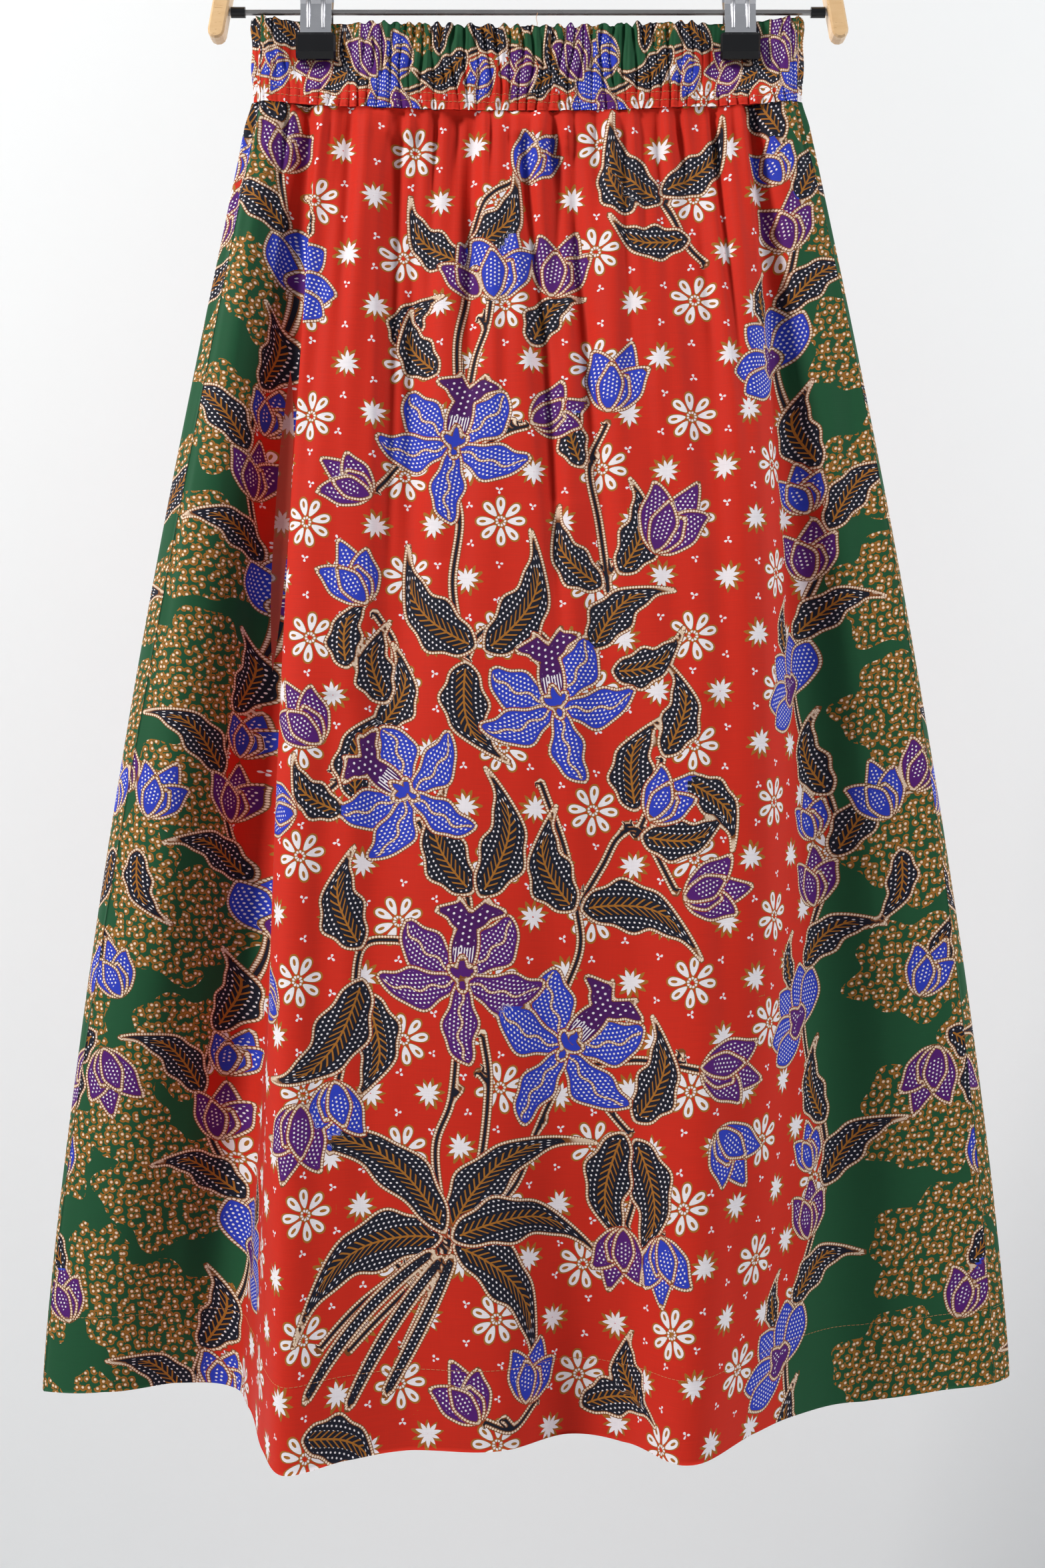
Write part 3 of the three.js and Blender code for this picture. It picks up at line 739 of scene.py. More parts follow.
class PrintSheet:
    """The distances and local places that the vertices of one cloth store."""

    def __init__(self, u, v, fullness):
        """fullness holds the cut's width for each mm of hanging width, evenly spaced down."""
        self.u, self.v = u.ravel(), v.ravel()
        self.fullness = fullness
        count = self.u.size
        self.edge = [np.tile([FAR, 0.0, 0.0], (count, 1)) for _ in range(PRINT_LAYERS)]
        self.place = [np.zeros((count, 3)) for _ in range(PRINT_LAYERS)]
        self.stem = np.tile([FAR, 0.0, FAR], (count, 1))

    def spot(self, u, v):
        """A place of the flat cut, on the hanging cloth."""
        down = np.linspace(0, SKIRT_DROP, len(self.fullness))
        return np.array([u / np.interp(v, down, self.fullness), v])

    def near(self, low, high):
        low, high = low - REACH, high + REACH
        across = (self.u > low[0]) & (self.u < high[0])
        return np.flatnonzero(across & (self.v > low[1]) & (self.v < high[1]))

    def outline(self, layer, shape, base, clock, kind, bend=0.0, rib=0.0, hook=0.0):
        """Prints a shape of (along, aside) points at base, pointing to a clock angle in degrees."""
        angle = math.radians(clock)
        ahead = np.array([math.sin(angle), -math.cos(angle)])
        aside = np.array([math.cos(angle), math.sin(angle)])
        reach = shape[:, 0].max()

        def sway(along):
            share = np.clip(along / reach, 0, 1.1)
            return (bend * share ** 2 + hook * share ** 6) * reach

        line = base + shape[:, :1] * ahead + (shape[:, 1:] + sway(shape[:, :1])) * aside
        near = self.near(line.min(0), line.max(0))
        if not near.size:
            return
        spots = np.stack([self.u[near], self.v[near]], -1)
        distance, running, _, total, _ = nearest_on_line(spots, line, True)
        distance = np.where(inside_outline(spots, line), -distance, distance)
        running *= max(1, round(total / BEAD_PITCH)) * BEAD_PITCH / total
        take = distance < self.edge[layer][near, 0]
        near, distance, running, spots = near[take], distance[take], running[take], spots[take]
        along = (spots - base) @ ahead
        across = (spots - base) @ aside - sway(along)
        self.edge[layer][near] = np.stack([distance, running, np.full_like(distance, kind)], -1)
        self.place[layer][near] = np.stack([along, across, np.full_like(distance, rib)], -1)

    def branch(self, knots):
        """Prints a thin stem on a smooth line through a few knots."""
        line = smooth_line(np.array([self.spot(u, v) for u, v in knots]))
        near = self.near(line.min(0), line.max(0))
        if not near.size:
            return
        spots = np.stack([self.u[near], self.v[near]], -1)
        distance, running, side, _, (best, part) = nearest_on_line(spots, line, False)
        past = ((best == 0) & (part <= 0)) | ((best == len(line) - 2) & (part >= 1))
        signed = np.where(past, distance, np.sign(side) * distance)
        take = distance < self.stem[near, 2]
        rows = np.stack([signed, running, distance], -1)
        self.stem[near[take]] = rows[take]


def smooth_line(knots, steps=8):
    """A Catmull-Rom line through knots."""
    padded = np.concatenate([2 * knots[:1] - knots[1:2], knots, 2 * knots[-1:] - knots[-2:-1]])
    pieces = []
    for a, b, c, d in zip(padded, padded[1:], padded[2:], padded[3:]):
        t = np.linspace(0, 1, steps, endpoint=False)[:, None]
        cubic = (3 * b - 3 * c + d - a) * t ** 3
        pieces.append(b + (cubic + (2 * a - 5 * b + 4 * c - d) * t ** 2 + (c - a) * t) / 2)
    return np.concatenate([*pieces, knots[-1:]])


print("print sheet ready with", PRINT_LAYERS, "layers")

# %% [markdown]
# A petal or leaf is a spine with a width that swells and narrows, and a flower is a few petals
# turned about one point. Petals that touch go on different layers, so that each keeps its own
# beaded edge.

# %% Petals and leaves
def blade(length, half_width, swell, tip, ripple=0.0, waves=2.5, steps=26):
    """A petal or leaf outline. swell is where it is widest, tip 0 is round and 1 is pointed."""
    share = np.linspace(0, 1, steps)
    power = math.log(0.5) / math.log(swell)
    body = np.sin(np.pi * share ** power) ** (0.55 + 0.6 * tip)
    body *= 1 + ripple * np.sin(TURN * waves * share)
    width = half_width * body
    right = np.stack([share * length, width], -1)
    left = np.stack([share * length, -width], -1)[::-1]
    return np.concatenate([right, left[1:-1]])


def trumpet(length, half_width, steps=30):
    """The orchid's lip: a neck that opens into a ruffled head with a notch in the middle."""
    share = np.linspace(0, 1, steps)
    neck = 0.42 * np.sin(np.pi * np.clip(share / 0.78, 0, 1)) ** 0.6
    head = np.exp(-(((share - 0.82) / 0.17) ** 2)) * (1 + 0.2 * np.sin(TURN * 5 * share))
    width = half_width * np.maximum(neck, head) * (share < 1) + half_width * 0.5 * (share == 1)
    right = np.stack([share * length, width], -1)
    left = np.stack([share * length, -width], -1)[::-1]
    notch = np.array([[length * 0.8, 0.0]])
    return np.concatenate([right, notch, left[:-1]])


def orchid(sheet, u, v, clock, size, petals=BLUE):
    base = sheet.spot(u, v)
    petal = blade(45 * size, 11.0 * size, 0.62, 0.15, 0.13, 2.2)
    slim = blade(48 * size, 9.0 * size, 0.58, 0.2, 0.15, 2.4)
    for turn, bend, layer, shape, hook in ((-52, -0.12, 1, petal, 0.2), (42, 0.1, 1, petal, -0.2),
                                           (-112, 0.16, 2, petal, 0.2), (112, -0.16, 2, petal, -0.2),
                                           (176, 0.14, 3, slim, -0.2)):
        sheet.outline(layer, shape, base, clock + turn, petals, bend, 1.0, hook)
    sheet.outline(3, trumpet(46 * size, 17 * size), base, clock, LIP, 0.12)
    for turn, length in ((-46, 10), (46, 10), (0, 13), (170, 7)):
        small = blade(length * size, 2.1 * size, 0.55, 0.3)
        sheet.outline(4, small, base, clock + turn, petals)


def lotus(sheet, u, v, clock, size):
    base = sheet.spot(u, v)
    petal = blade(37 * size, 9.5 * size, 0.58, 0.5, 0.07, 1.5)
    side = blade(34 * size, 9.0 * size, 0.58, 0.5, 0.07, 1.5)
    for turn, bend, layer, shape in ((0, 0.0, 1, petal), (-37, -0.12, 2, petal), (38, 0.12, 2, petal),
                                     (-76, 0.14, 3, side), (78, -0.14, 3, side)):
        sheet.outline(layer, shape, base, clock + turn, BLUE, bend)
    for turn, length in ((-44, 13), (44, 13), (0, 18)):
        sepal = blade(length * size, 4.6 * size, 0.55, 0.8)
        sheet.outline(4, sepal, base, clock + turn, PURPLE)


def tulip(sheet, u, v, clock, size, kind):
    """A bud of five petals: one behind, two beside it and two short ones in front."""
    base = sheet.spot(u, v)
    for turn, bend, layer, length, half in ((4, 0.06, 1, 39, 7.0), (-32, 0.22, 2, 34, 7.6),
                                            (34, -0.22, 2, 31, 7.4), (17, -0.12, 3, 21, 5.6),
                                            (-13, 0.1, 4, 25, 5.8)):
        petal = blade(length * size, half * size, 0.5, 0.55, 0.06, 2.0)
        sheet.outline(layer, petal, base, clock + turn, kind, bend, 0.0, -0.7 * bend)


def leaf(sheet, u, v, clock, length, half_width=9.0, bend=0.0, layer=0, ripple=0.12):
    shape = blade(length, half_width, 0.45, 0.42, ripple, 3.0, 34)
    hook = 0.42 if bend > 0 else -0.42
    sheet.outline(layer, shape, sheet.spot(u, v), clock, LEAF, bend, half_width, hook)


def stalk(sheet, u, v, clock, length, half_width, bend=0.0):
    """A thick cut stem with rows of dots."""
    shape = blade(length, half_width, 0.5, -0.65)
    sheet.outline(1, shape, sheet.spot(u, v), clock, LEAF, bend)


print("petals, orchids, lotus flowers, tulips, leaves and stalks")

# %% [markdown]
# The layout follows the kind of cloth that the skirt is cut from: a tall spray of orchids on a
# red middle, a flower garland down each side with one repeat about every 206 mm, and a green
# border outside it. The places are whole millimetres on the flat cloth. They were written by hand
# from marks that were read off the picture by eye and turned into millimetres by a scratch script.
# The orchids lie within 4 mm of their marks, and most of the rest lie less near.

# %% Spray, garland and border
GARLAND_REPEAT = 206.0
GARLAND_START = {1: 160.0, -1: 110.0}  # the first lotus of the right and the left side
GARLAND_U = {1: (283.0, -0.05), -1: (223.0, 0.048)}  # u of its middle at the waist, drift down
ORCHIDS = [  # u, v, clock angle of the lip, size, petals
    (-39, 214, 8, 1.0, BLUE), (42, 374, -14, 1.0, BLUE), (-64, 428, -58, 0.95, BLUE),
    (-24, 538, 2, 1.05, PURPLE), (46, 580, 38, 1.08, BLUE),
]
TULIPS = [  # u, v, clock, size, petals
    (-8, 122, 8, 1.25, BLUE), (120, 280, 28, 1.25, PURPLE), (90, 192, 14, 1.15, BLUE),
    (-101, 312, -30, 1.05, BLUE), (-104, 246, -60, 0.95, PURPLE), (26, 200, 62, 0.95, PURPLE),
    (-128, 398, -40, 1.1, PURPLE), (-142, 440, -88, 1.0, BLUE), (106, 442, 40, 0.95, BLUE),
    (128, 490, 78, 1.1, PURPLE), (138, 590, 100, 1.15, PURPLE), (150, 628, 140, 1.1, BLUE),
    (-128, 612, 190, 1.2, PURPLE), (-106, 600, 178, 1.05, BLUE), (-150, 560, -62, 0.95, BLUE),
    (84, 688, 186, 1.0, PURPLE), (112, 690, 168, 1.05, BLUE), (18, 44, 30, 0.9, BLUE),
    (44, 118, 16, 1.1, PURPLE), (-22, 118, -26, 0.9, PURPLE), (20, 792, 10, 1.0, BLUE),
    (-12, 800, -30, 1.0, PURPLE),
]
LEAVES = [  # u, v, clock, length, half width, bend
    (-38, 98, -70, 40, 9, 0.2), (-36, 92, 62, 44, 10, -0.2), (26, 150, 20, 34, 8, 0.1),
    (-56, 168, -52, 34, 9, 0.15), (-92, 150, 10, 30, 8, 0.2), (66, 226, -28, 32, 7, 0.2),
    (78, 300, -62, 40, 9, 0.25), (92, 292, 38, 42, 10, -0.2), (156, 60, -60, 48, 10, 0.2),
    (158, 54, 66, 46, 9, -0.1), (126, 66, -40, 34, 8, 0.1), (178, 84, -100, 40, 8, 0.1),
    (-18, 338, -68, 54, 12, 0.25), (-10, 340, 54, 56, 12, -0.25), (-24, 348, -172, 48, 11, -0.2),
    (70, 338, 24, 44, 10, 0.2), (84, 352, 92, 36, 9, -0.2), (-82, 372, -30, 36, 9, 0.2),
    (-86, 388, 40, 38, 9, -0.2), (-112, 352, -12, 34, 8, 0.2), (-100, 432, -6, 46, 10, 0.15),
    (-110, 440, -70, 34, 8, 0.15), (96, 436, -10, 44, 10, 0.1), (100, 452, 104, 42, 9, -0.15),
    (118, 404, 30, 42, 9, -0.1), (132, 420, 118, 40, 8, 0.1), (-18, 486, -44, 50, 11, 0.2),
    (-12, 488, 34, 56, 11, -0.2), (52, 496, -42, 46, 11, 0.2), (58, 496, 78, 56, 12, 0.28),
    (-92, 520, -36, 44, 11, 0.2), (-90, 540, -162, 66, 12, 0.14), (-88, 548, 160, 50, 10, 0.1),
    (92, 622, 40, 46, 11, -0.2), (92, 634, 150, 58, 11, 0.18), (84, 630, -158, 56, 11, -0.15),
    (-36, 692, -84, 72, 13, -0.36), (-34, 688, -26, 86, 11, -0.4), (-31, 690, 24, 74, 11, 0.3),
    (-28, 692, 62, 66, 11, 0.34), (-27, 696, 108, 64, 12, 0.44), (60, 800, 60, 40, 9, 0.2),
    (-120, 800, 100, 44, 10, 0.1), (100, 795, -40, 36, 9, 0.1),
]
BRANCHES = [
    [(-110, 752), (-88, 732), (-60, 712), (-36, 690)],
    [(-92, 756), (-66, 732), (-46, 712), (-34, 690)],
    [(-58, 758), (-44, 728), (-32, 700), (-30, 690)],
    [(-33, 690), (-40, 640), (-30, 610), (-26, 570)],
    [(-28, 690), (-12, 650), (-6, 600), (-10, 570)],
    [(-24, 690), (10, 662), (26, 630), (40, 604)],
    [(60, 600), (76, 618), (88, 630)],
    [(62, 590), (90, 586), (118, 588), (138, 592)],
    [(-50, 520), (-72, 516), (-92, 522), (-96, 560), (-104, 600)],
    [(44, 548), (56, 520), (54, 496), (46, 460), (30, 420)],
    [(-20, 505), (-22, 486), (-44, 462), (-56, 444)],
    [(54, 496), (72, 470), (84, 452), (100, 450), (122, 486)],
    [(96, 452), (108, 430), (116, 406)],
    [(44, 344), (30, 330), (10, 322), (-14, 330), (-24, 346)],
    [(52, 350), (70, 336), (84, 314), (82, 296), (98, 282), (118, 282)],
    [(84, 312), (78, 262), (72, 226), (88, 200)],
    [(-28, 336), (-36, 300), (-32, 262), (-38, 240)],
    [(-36, 190), (-40, 150), (-34, 120), (-36, 96), (-20, 60), (10, 46)],
    [(-30, 190), (-24, 160), (-14, 140), (-10, 122)],
    [(-62, 408), (-90, 392), (-84, 372), (-78, 340), (-94, 318)],
    [(-92, 392), (-112, 420), (-134, 436)],
    [(-16, 216), (4, 206), (22, 202)],
    [(-62, 214), (-82, 224), (-100, 242)],
    [(190, 100), (176, 88), (160, 62), (142, 44)],
    [(88, 640), (92, 664), (86, 686)],
    [(94, 640), (104, 664), (112, 688)],
    [(28, 792), (10, 806), (-8, 800)],
]
GARLAND = [  # what grows on one repeat: kind, aside of the stem, down the repeat, clock, size
    ("lotus", -2, 6, -52, 1.05), ("leaf", 2, 68, -38, 48), ("leaf", 0, 108, 24, 54),
    ("blue", -14, 96, -20, 0.8), ("purple", -4, 138, -8, 0.95), ("leaf", 0, 176, 38, 50),
    ("leaf", -16, 186, -30, 30),
]
SIDE_SPRAYS = [  # u, v, clock, size, petals, for the right green border, mirrored on the left
    (330, 436, 24, 0.95, PURPLE), (312, 452, -28, 1.0, BLUE), (326, 566, 20, 0.95, BLUE),
    (338, 600, 190, 1.1, PURPLE), (368, 682, 10, 0.9, BLUE), (352, 330, 16, 0.9, BLUE),
    (340, 180, 12, 0.9, PURPLE), (356, 772, 12, 0.95, PURPLE),
]
SIDE_LEAVES = [(352, 446, 96, 40, 9, 0.2), (318, 474, 168, 42, 9, 0.2), (344, 560, -20, 40, 9, 0.2),
               (366, 640, -12, 46, 10, 0.1), (346, 590, 120, 38, 9, 0.1), (362, 740, 30, 40, 9, 0.1)]
STALKS = [(-40, 700, -126, 112, 3.0, -0.16), (-34, 703, -140, 104, 3.0, -0.1),
          (-28, 702, -158, 92, 3.0, 0.08)]


def garland_line(v, side):
    """Where the garland's stem runs: it bows out between two lotus flowers."""
    middle, drift = GARLAND_U[side]
    bow = np.cos(TURN * (v - GARLAND_START[side] - 103) / GARLAND_REPEAT)
    return middle + drift * v + 13 * bow + 3 * np.sin(v / 31.0)


def draw_garland(sheet, side, repeat=GARLAND, slide=0):
    low, high = -60.0, SKIRT_DROP + 60
    v = np.arange(low, high, 18.0)
    sheet.branch(np.stack([side * garland_line(v, side), v], -1))
    for k in range(-1, 5):
        top = GARLAND_START[side] + GARLAND_REPEAT * k + slide
        for kind, aside, down, clock, size in repeat:
            spot = top + down
            u = side * (garland_line(spot, side) + aside)
            turn = side * clock
            if kind == "lotus":
                lotus(sheet, u, spot, turn, size)
            elif kind == "leaf":
                leaf(sheet, u, spot, turn, size, size * 0.21, side * 0.12, k % 2)
            else:
                tulip(sheet, u, spot, turn, size, BLUE if kind == "blue" else PURPLE)


def draw_spray(sheet, side=1, drop=0):
    for number, knots in enumerate(BRANCHES):
        sheet.branch([(side * u, v + drop) for u, v in knots])
        u, v = knots[len(knots) // 2]
        away = 6 if number % 2 else -6
        sheet.branch([(side * u, v + drop), (side * (u + away), v + drop - 7)])
    for u, v, clock, length, half, bend in STALKS:
        stalk(sheet, side * u, v + drop, side * clock, length, half, side * bend)
    for number, (u, v, clock, length, half, bend) in enumerate(LEAVES):
        length, half = length * 1.16, half * 1.22
        leaf(sheet, side * u, v + drop, side * clock, length, half, side * bend, number % 2)
    for u, v, clock, size, kind in TULIPS:
        tulip(sheet, side * u, v + drop, side * clock, size, kind)
    for u, v, clock, size, kind in ORCHIDS:
        orchid(sheet, side * u, v + drop, side * clock, size, kind)


def draw_border(sheet, side):
    for number, (u, v, clock, length, half, bend) in enumerate(SIDE_LEAVES):
        leaf(sheet, side * u, v, side * clock, length, half, side * bend, number % 2)
    for u, v, clock, size, kind in SIDE_SPRAYS:
        tulip(sheet, side * u, v, side * clock, size, kind)


print(len(ORCHIDS), "orchids,", len(TULIPS), "tulips and", len(LEAVES), "leaves in the spray")

# %% [markdown]
# The red ground carries small white daisies and stars, with three-dot sprinkles between them.
# They stand on a loose triangular net, one daisy to two stars. Each vertex stores its place
# relative to the nearest small motif, and the shader draws the motif from that.

# %% Small motifs and ground
NET = 39.5
DAISY, STAR = 1.0, 2.0
DAISY_RADIUS, STAR_RADIUS = 15.5, 9.5
DAISY_LIMIT, STAR_LIMIT = 16.4, 10.6


def motif_net(width, height, seed):
    """Places of the daisies and stars, of their three-dot sprinkles, and each motif's kind."""
    chance = np.random.RandomState(seed)
    rows = int(height / (NET * 0.866)) + 3
    columns = int(width / NET) + 4
    spots, kinds, dots = [], [], []
    for i in range(-1, rows):
        for j in range(-columns // 2, columns // 2 + 1):
            u, v = (j + 0.5 * (i % 2)) * NET, i * NET * 0.866 - 10
            slide = chance.uniform(-3.5, 3.5, 2)
            spots.append((u + slide[0], v + slide[1]))
            kinds.append(DAISY if (j - (i - i % 2) // 2 - i) % 3 == 0 else STAR)
            for du, dv in ((0.0, NET * 0.577), (NET / 2, NET * 0.289)):
                shift = chance.uniform(-2, 2, 2)
                dots.append((u + du + shift[0], v + dv + shift[1]))
    return np.array(spots), np.array(kinds), np.array(dots)


def relative_to_nearest(u, v, spots, radii, seed):
    """Turned offset from the nearest spot, its true length, and the number of that spot."""
    best = np.full(u.size, 1e9)
    which = np.zeros(u.size, int)
    for number, (spot, radius) in enumerate(zip(spots, radii)):
        apart = np.hypot(u - spot[0], v - spot[1]) - radius
        closer = apart < best
        best[closer] = apart[closer]
        which[closer] = number
    angle = np.random.RandomState(seed).uniform(0, TURN, len(spots))[which]
    du, dv = u - spots[which, 0], v - spots[which, 1]
    across = du * np.cos(angle) + dv * np.sin(angle)
    down = dv * np.cos(angle) - du * np.sin(angle)
    return np.stack([across, down, np.hypot(du, dv)], -1), which


# Each bead cluster of the green border: u, v, half its width, half its height.
PATCHES = [(322, -8, 26, 30), (322, 66, 26, 32), (334, 150, 34, 34), (338, 232, 40, 34),
           (334, 308, 42, 36), (330, 384, 42, 34), (338, 470, 48, 36), (326, 548, 42, 32),
           (334, 640, 46, 38), (342, 724, 46, 36), (318, 796, 42, 32), (372, 430, 26, 30),
           (370, 590, 26, 34),
           (382, 690, 24, 30), (376, 788, 28, 34), (412, 520, 26, 34), (420, 610, 28, 36),
           (426, 700, 28, 34), (424, 790, 28, 32)]
CASING_PATCHES = [(304, 20, 18, 22), (300, 96, 18, 22), (302, 186, 20, 22), (298, 268, 18, 20),
                  (300, 340, 18, 20), (294, 420, 18, 20), (298, 496, 18, 20), (294, 570, 18, 20)]


def patch_distance(sheet, patches):
    """How far outside the nearest bead cluster of the green border a place is, in mm."""
    u, v = sheet.u, sheet.v
    outward = np.where(u < 0, -38, 0)  # the left garland stands nearer to the middle
    best = np.full(u.size, FAR)
    for number, (pu, pv, half, tall) in enumerate(patches):
        middle = sheet.spot(pu, pv)[0]
        du, dv = (abs(u) - middle - outward) / half, (v - pv - 25 + 25 * np.sign(u)) / tall
        angle = np.arctan2(dv, du)
        lumps = 1 + 0.1 * np.sin(5 * angle + number) + 0.07 * np.sin(9 * angle + 2.0 * number)
        best = np.minimum(best, (np.hypot(du, dv) / lumps - 1) * min(half, tall))
    return best


def print_fields(sheet, border, seed, patches=PATCHES):
    """All that the vertices store: names to arrays of (count, 3)."""
    u, v = sheet.u, sheet.v
    spots, kinds, dots = motif_net(820, 860, seed)
    radii = np.where(kinds == DAISY, DAISY_RADIUS, STAR_RADIUS)
    motif, which = relative_to_nearest(u, v, spots, radii, seed)
    sprinkle, _ = relative_to_nearest(u, v, dots, np.zeros(len(dots)), seed)
    fields = {
        "cloth": np.stack([u, v, kinds[which]], -1),
        "ground": np.stack([border, patch_distance(sheet, patches), np.zeros_like(u)], -1),
        "motif": motif,
        "sprinkle": sprinkle,
        "stem": sheet.stem,
    }
    for layer in range(PRINT_LAYERS):
        fields[f"edge_{layer}"] = sheet.edge[layer]
        fields[f"place_{layer}"] = sheet.place[layer]
    return fields


def panel_print(u, v, fullness, side, drop, seed):
    sheet = PrintSheet(u, v, fullness)
    for half in (-1, 1):
        draw_garland(sheet, half)
        draw_border(sheet, half)
    draw_spray(sheet, side, drop)
    here = np.interp(sheet.v, np.linspace(0, SKIRT_DROP, len(fullness)), fullness)
    line = np.where(sheet.u > 0, garland_line(sheet.v, 1), garland_line(sheet.v, -1))
    return print_fields(sheet, abs(sheet.u) - line / here, seed)


print("one small motif every", NET, "mm")

# %% [markdown]
# Shader groups for the print. Each does one thing to the stored values: pick the top outline,
# string beads along it, set rows of dots inside it, or draw one of the small motifs.

# %% Print groups
def build_top_layer(b, i):
    cover = b.below(b.split(i["Edge"])[0], 2.1)
    return {"Edge": b.mix_vector(cover, i["Lower edge"], i["Edge"]),
            "Place": b.mix_vector(cover, i["Lower place"], i["Place"])}


top_layer = node_group(
    "top_layer",
    {"Lower edge": ("vector", (0, 0, 0)), "Lower place": ("vector", (0, 0, 0)),
     "Edge": ("vector", (0, 0, 0)), "Place": ("vector", (0, 0, 0))},
    {"Edge": "vector", "Place": "vector"}, build_top_layer)


def build_bead_row(b, i):
    """Beads of a given pitch on a line that runs Along, at Offset from its middle."""
    share = b.fraction(b.over(i["Along"], i["Pitch"]))
    ahead = b.times(b.minus(share, 0.5), i["Pitch"])
    away = b.length(ahead, i["Offset"])
    return {"Bead": b.minus(1.0, b.fade_by(away, i["Radius"], 0.3))}


bead_row = node_group(
    "bead_row",
    {"Along": ("value", 0.0), "Offset": ("value", 0.0), "Pitch": ("value", BEAD_PITCH),
     "Radius": ("value", 0.55)},
    {"Bead": "value"}, build_bead_row)


def build_dot_field(b, i):
    """Staggered rows of dots in a local place, along and aside."""
    along, aside, _ = b.split(i["Place"])
    row = b.over(aside, i["Pitch"])
    number = b.math("FLOOR", row)
    odd = b.times(b.math("MODULO", b.size(number), 2.0), 0.5)
    column = b.plus(b.over(along, i["Pitch"]), odd)
    across = b.minus(b.fraction(column), 0.5)
    down = b.minus(b.fraction(row), 0.5)
    away = b.length(across, down)
    away = b.times(away, i["Pitch"])
    return {"Dot": b.minus(1.0, b.fade_by(away, i["Radius"], 0.25))}


dot_field = node_group(
    "dot_field",
    {"Place": ("vector", (0, 0, 0)), "Pitch": ("value", 2.5), "Radius": ("value", 0.47)},
    {"Dot": "value"}, build_dot_field)


def build_leaf_veins(b, i):
    """A midrib and feathered side veins, as a mask."""
    along, aside, _ = b.split(i["Place"])
    off = b.size(aside)
    slant = b.minus(along, b.times(off, 1.15))
    share = b.fraction(b.over(slant, 4.2))
    barb = b.below(b.size(b.minus(share, 0.5)), 0.15)
    rib = b.below(off, 0.6)
    return {"Vein": b.larger(barb, rib)}


leaf_veins = node_group("leaf_veins", {"Place": ("vector", (0, 0, 0))}, {"Vein": "value"},
                        build_leaf_veins)


def build_daisy(b, i):
    """Eight drop-shaped petals in four pairs. The outputs are masks of its colours."""
    across, down, reach = b.split(b.vector("MULTIPLY", i["Offset"], (0.91, 0.91, 0.91)))
    angle = b.angle(down, across)
    quarter = math.pi / 2
    folded = b.size(b.math("WRAP", angle, quarter / 2, -quarter / 2))
    turned = b.minus(folded, 0.36)
    along = b.times(reach, b.math("COSINE", turned))
    aside = b.times(reach, b.math("SINE", turned))
    share = b.over(b.minus(along, 8.7), 4.9)
    drop = b.math("MULTIPLY_ADD", share, 0.85, 2.3)
    off = b.over(aside, drop)
    away = b.length(share, off)
    inner_share = b.over(b.minus(along, 10.2), 1.9)
    inner = b.length(inner_share, b.over(aside, 0.8))
    core = b.below(b.size(b.minus(reach, 2.5)), 1.0)
    white = b.below(away, 1.0)
    red = b.below(inner, 1.0)
    ring = b.group(bead_row, Along=b.times(angle, 2.5), Pitch=2.5 * TURN / 9,
                   Offset=b.minus(reach, 2.5), Radius=0.5)[0]
    white = b.larger(b.minus(white, red, clamp=True), ring)
    gold = b.larger(b.below(away, 1.22), core)
    return {"White": white, "Gold": gold, "Middle": b.below(reach, 1.4)}


daisy = node_group("daisy", {"Offset": ("vector", (0, 0, 0))},
                   {"White": "value", "Gold": "value", "Middle": "value"}, build_daisy)


def build_star(b, i):
    """A ten-pointed star with a gold copy slipped out from under it."""
    def points(offset, size):
        across, down, _ = b.split(offset)
        away = b.length(across, down)
        angle = b.angle(down, across)
        tooth = b.math("PINGPONG", b.times(angle, 10 / math.pi), 1.0)
        uneven = b.times(b.math("SINE", b.times(angle, 3.0)), 0.7)
        edge = b.plus(b.math("MULTIPLY_ADD", tooth, 4.3 * size, 3.9 * size), uneven)
        return b.below(away, edge)

    slipped = b.vector("ADD", i["Offset"], (-0.7, 0.7, 0.0))
    white = points(i["Offset"], 0.93)
    return {"White": white, "Gold": b.larger(points(slipped, 1.24), white)}


star = node_group("star", {"Offset": ("vector", (0, 0, 0))}, {"White": "value", "Gold": "value"},
                  build_star)


def build_three_dots(b, i):
    across, down, reach = b.split(i["Offset"])
    angle = b.math("WRAP", b.angle(down, across), TURN / 6, -TURN / 6)
    along = b.minus(b.times(reach, b.math("COSINE", angle)), 1.75)
    aside = b.times(reach, b.math("SINE", angle))
    away = b.length(along, aside)
    return {"Dot": b.fade(away, 1.0, 0.75)}


three_dots = node_group("three_dots", {"Offset": ("vector", (0, 0, 0))}, {"Dot": "value"},
                        build_three_dots)


BEAD_NET = 4.7


def build_curled_beads(b, i):
    """Close-set pearls, each in a gold curl, as on the green border."""
    cell = b.node("ShaderNodeTexVoronoi", {"Vector": i["Cloth"], "Scale": 1 / BEAD_NET,
                                           "Randomness": 0.7}, 0, voronoi_dimensions="2D")
    voronoi = cell.node
    away = b.times(cell, BEAD_NET * 1.08)
    middle = b.vector("SUBTRACT", i["Cloth"], voronoi.outputs["Position"])
    across, down, _ = b.split(middle)
    angle = b.angle(down, across)
    chance = b.node("ShaderNodeSeparateColor", (voronoi.outputs["Color"],))
    turned = b.plus(angle, b.times(chance, TURN))
    curl = b.above(b.math("COSINE", turned), -0.6)
    pearl = b.fade(away, 1.05, 0.7)
    rim = b.below(away, 1.5)
    outer = b.below(b.size(b.minus(away, 2.15)), 0.45)
    gold = b.larger(rim, b.times(outer, curl))
    return {"Pearl": pearl, "Gold": gold}


curled_beads = node_group("curled_beads", {"Cloth": ("vector", (0, 0, 0))},
                          {"Pearl": "value", "Gold": "value"}, build_curled_beads)

# %% [markdown]
# Plain-woven cotton shows as faint level streaks, where a thread is a little thicker, and as a
# fine tooth in the light. The same group serves the panels and the waistband.

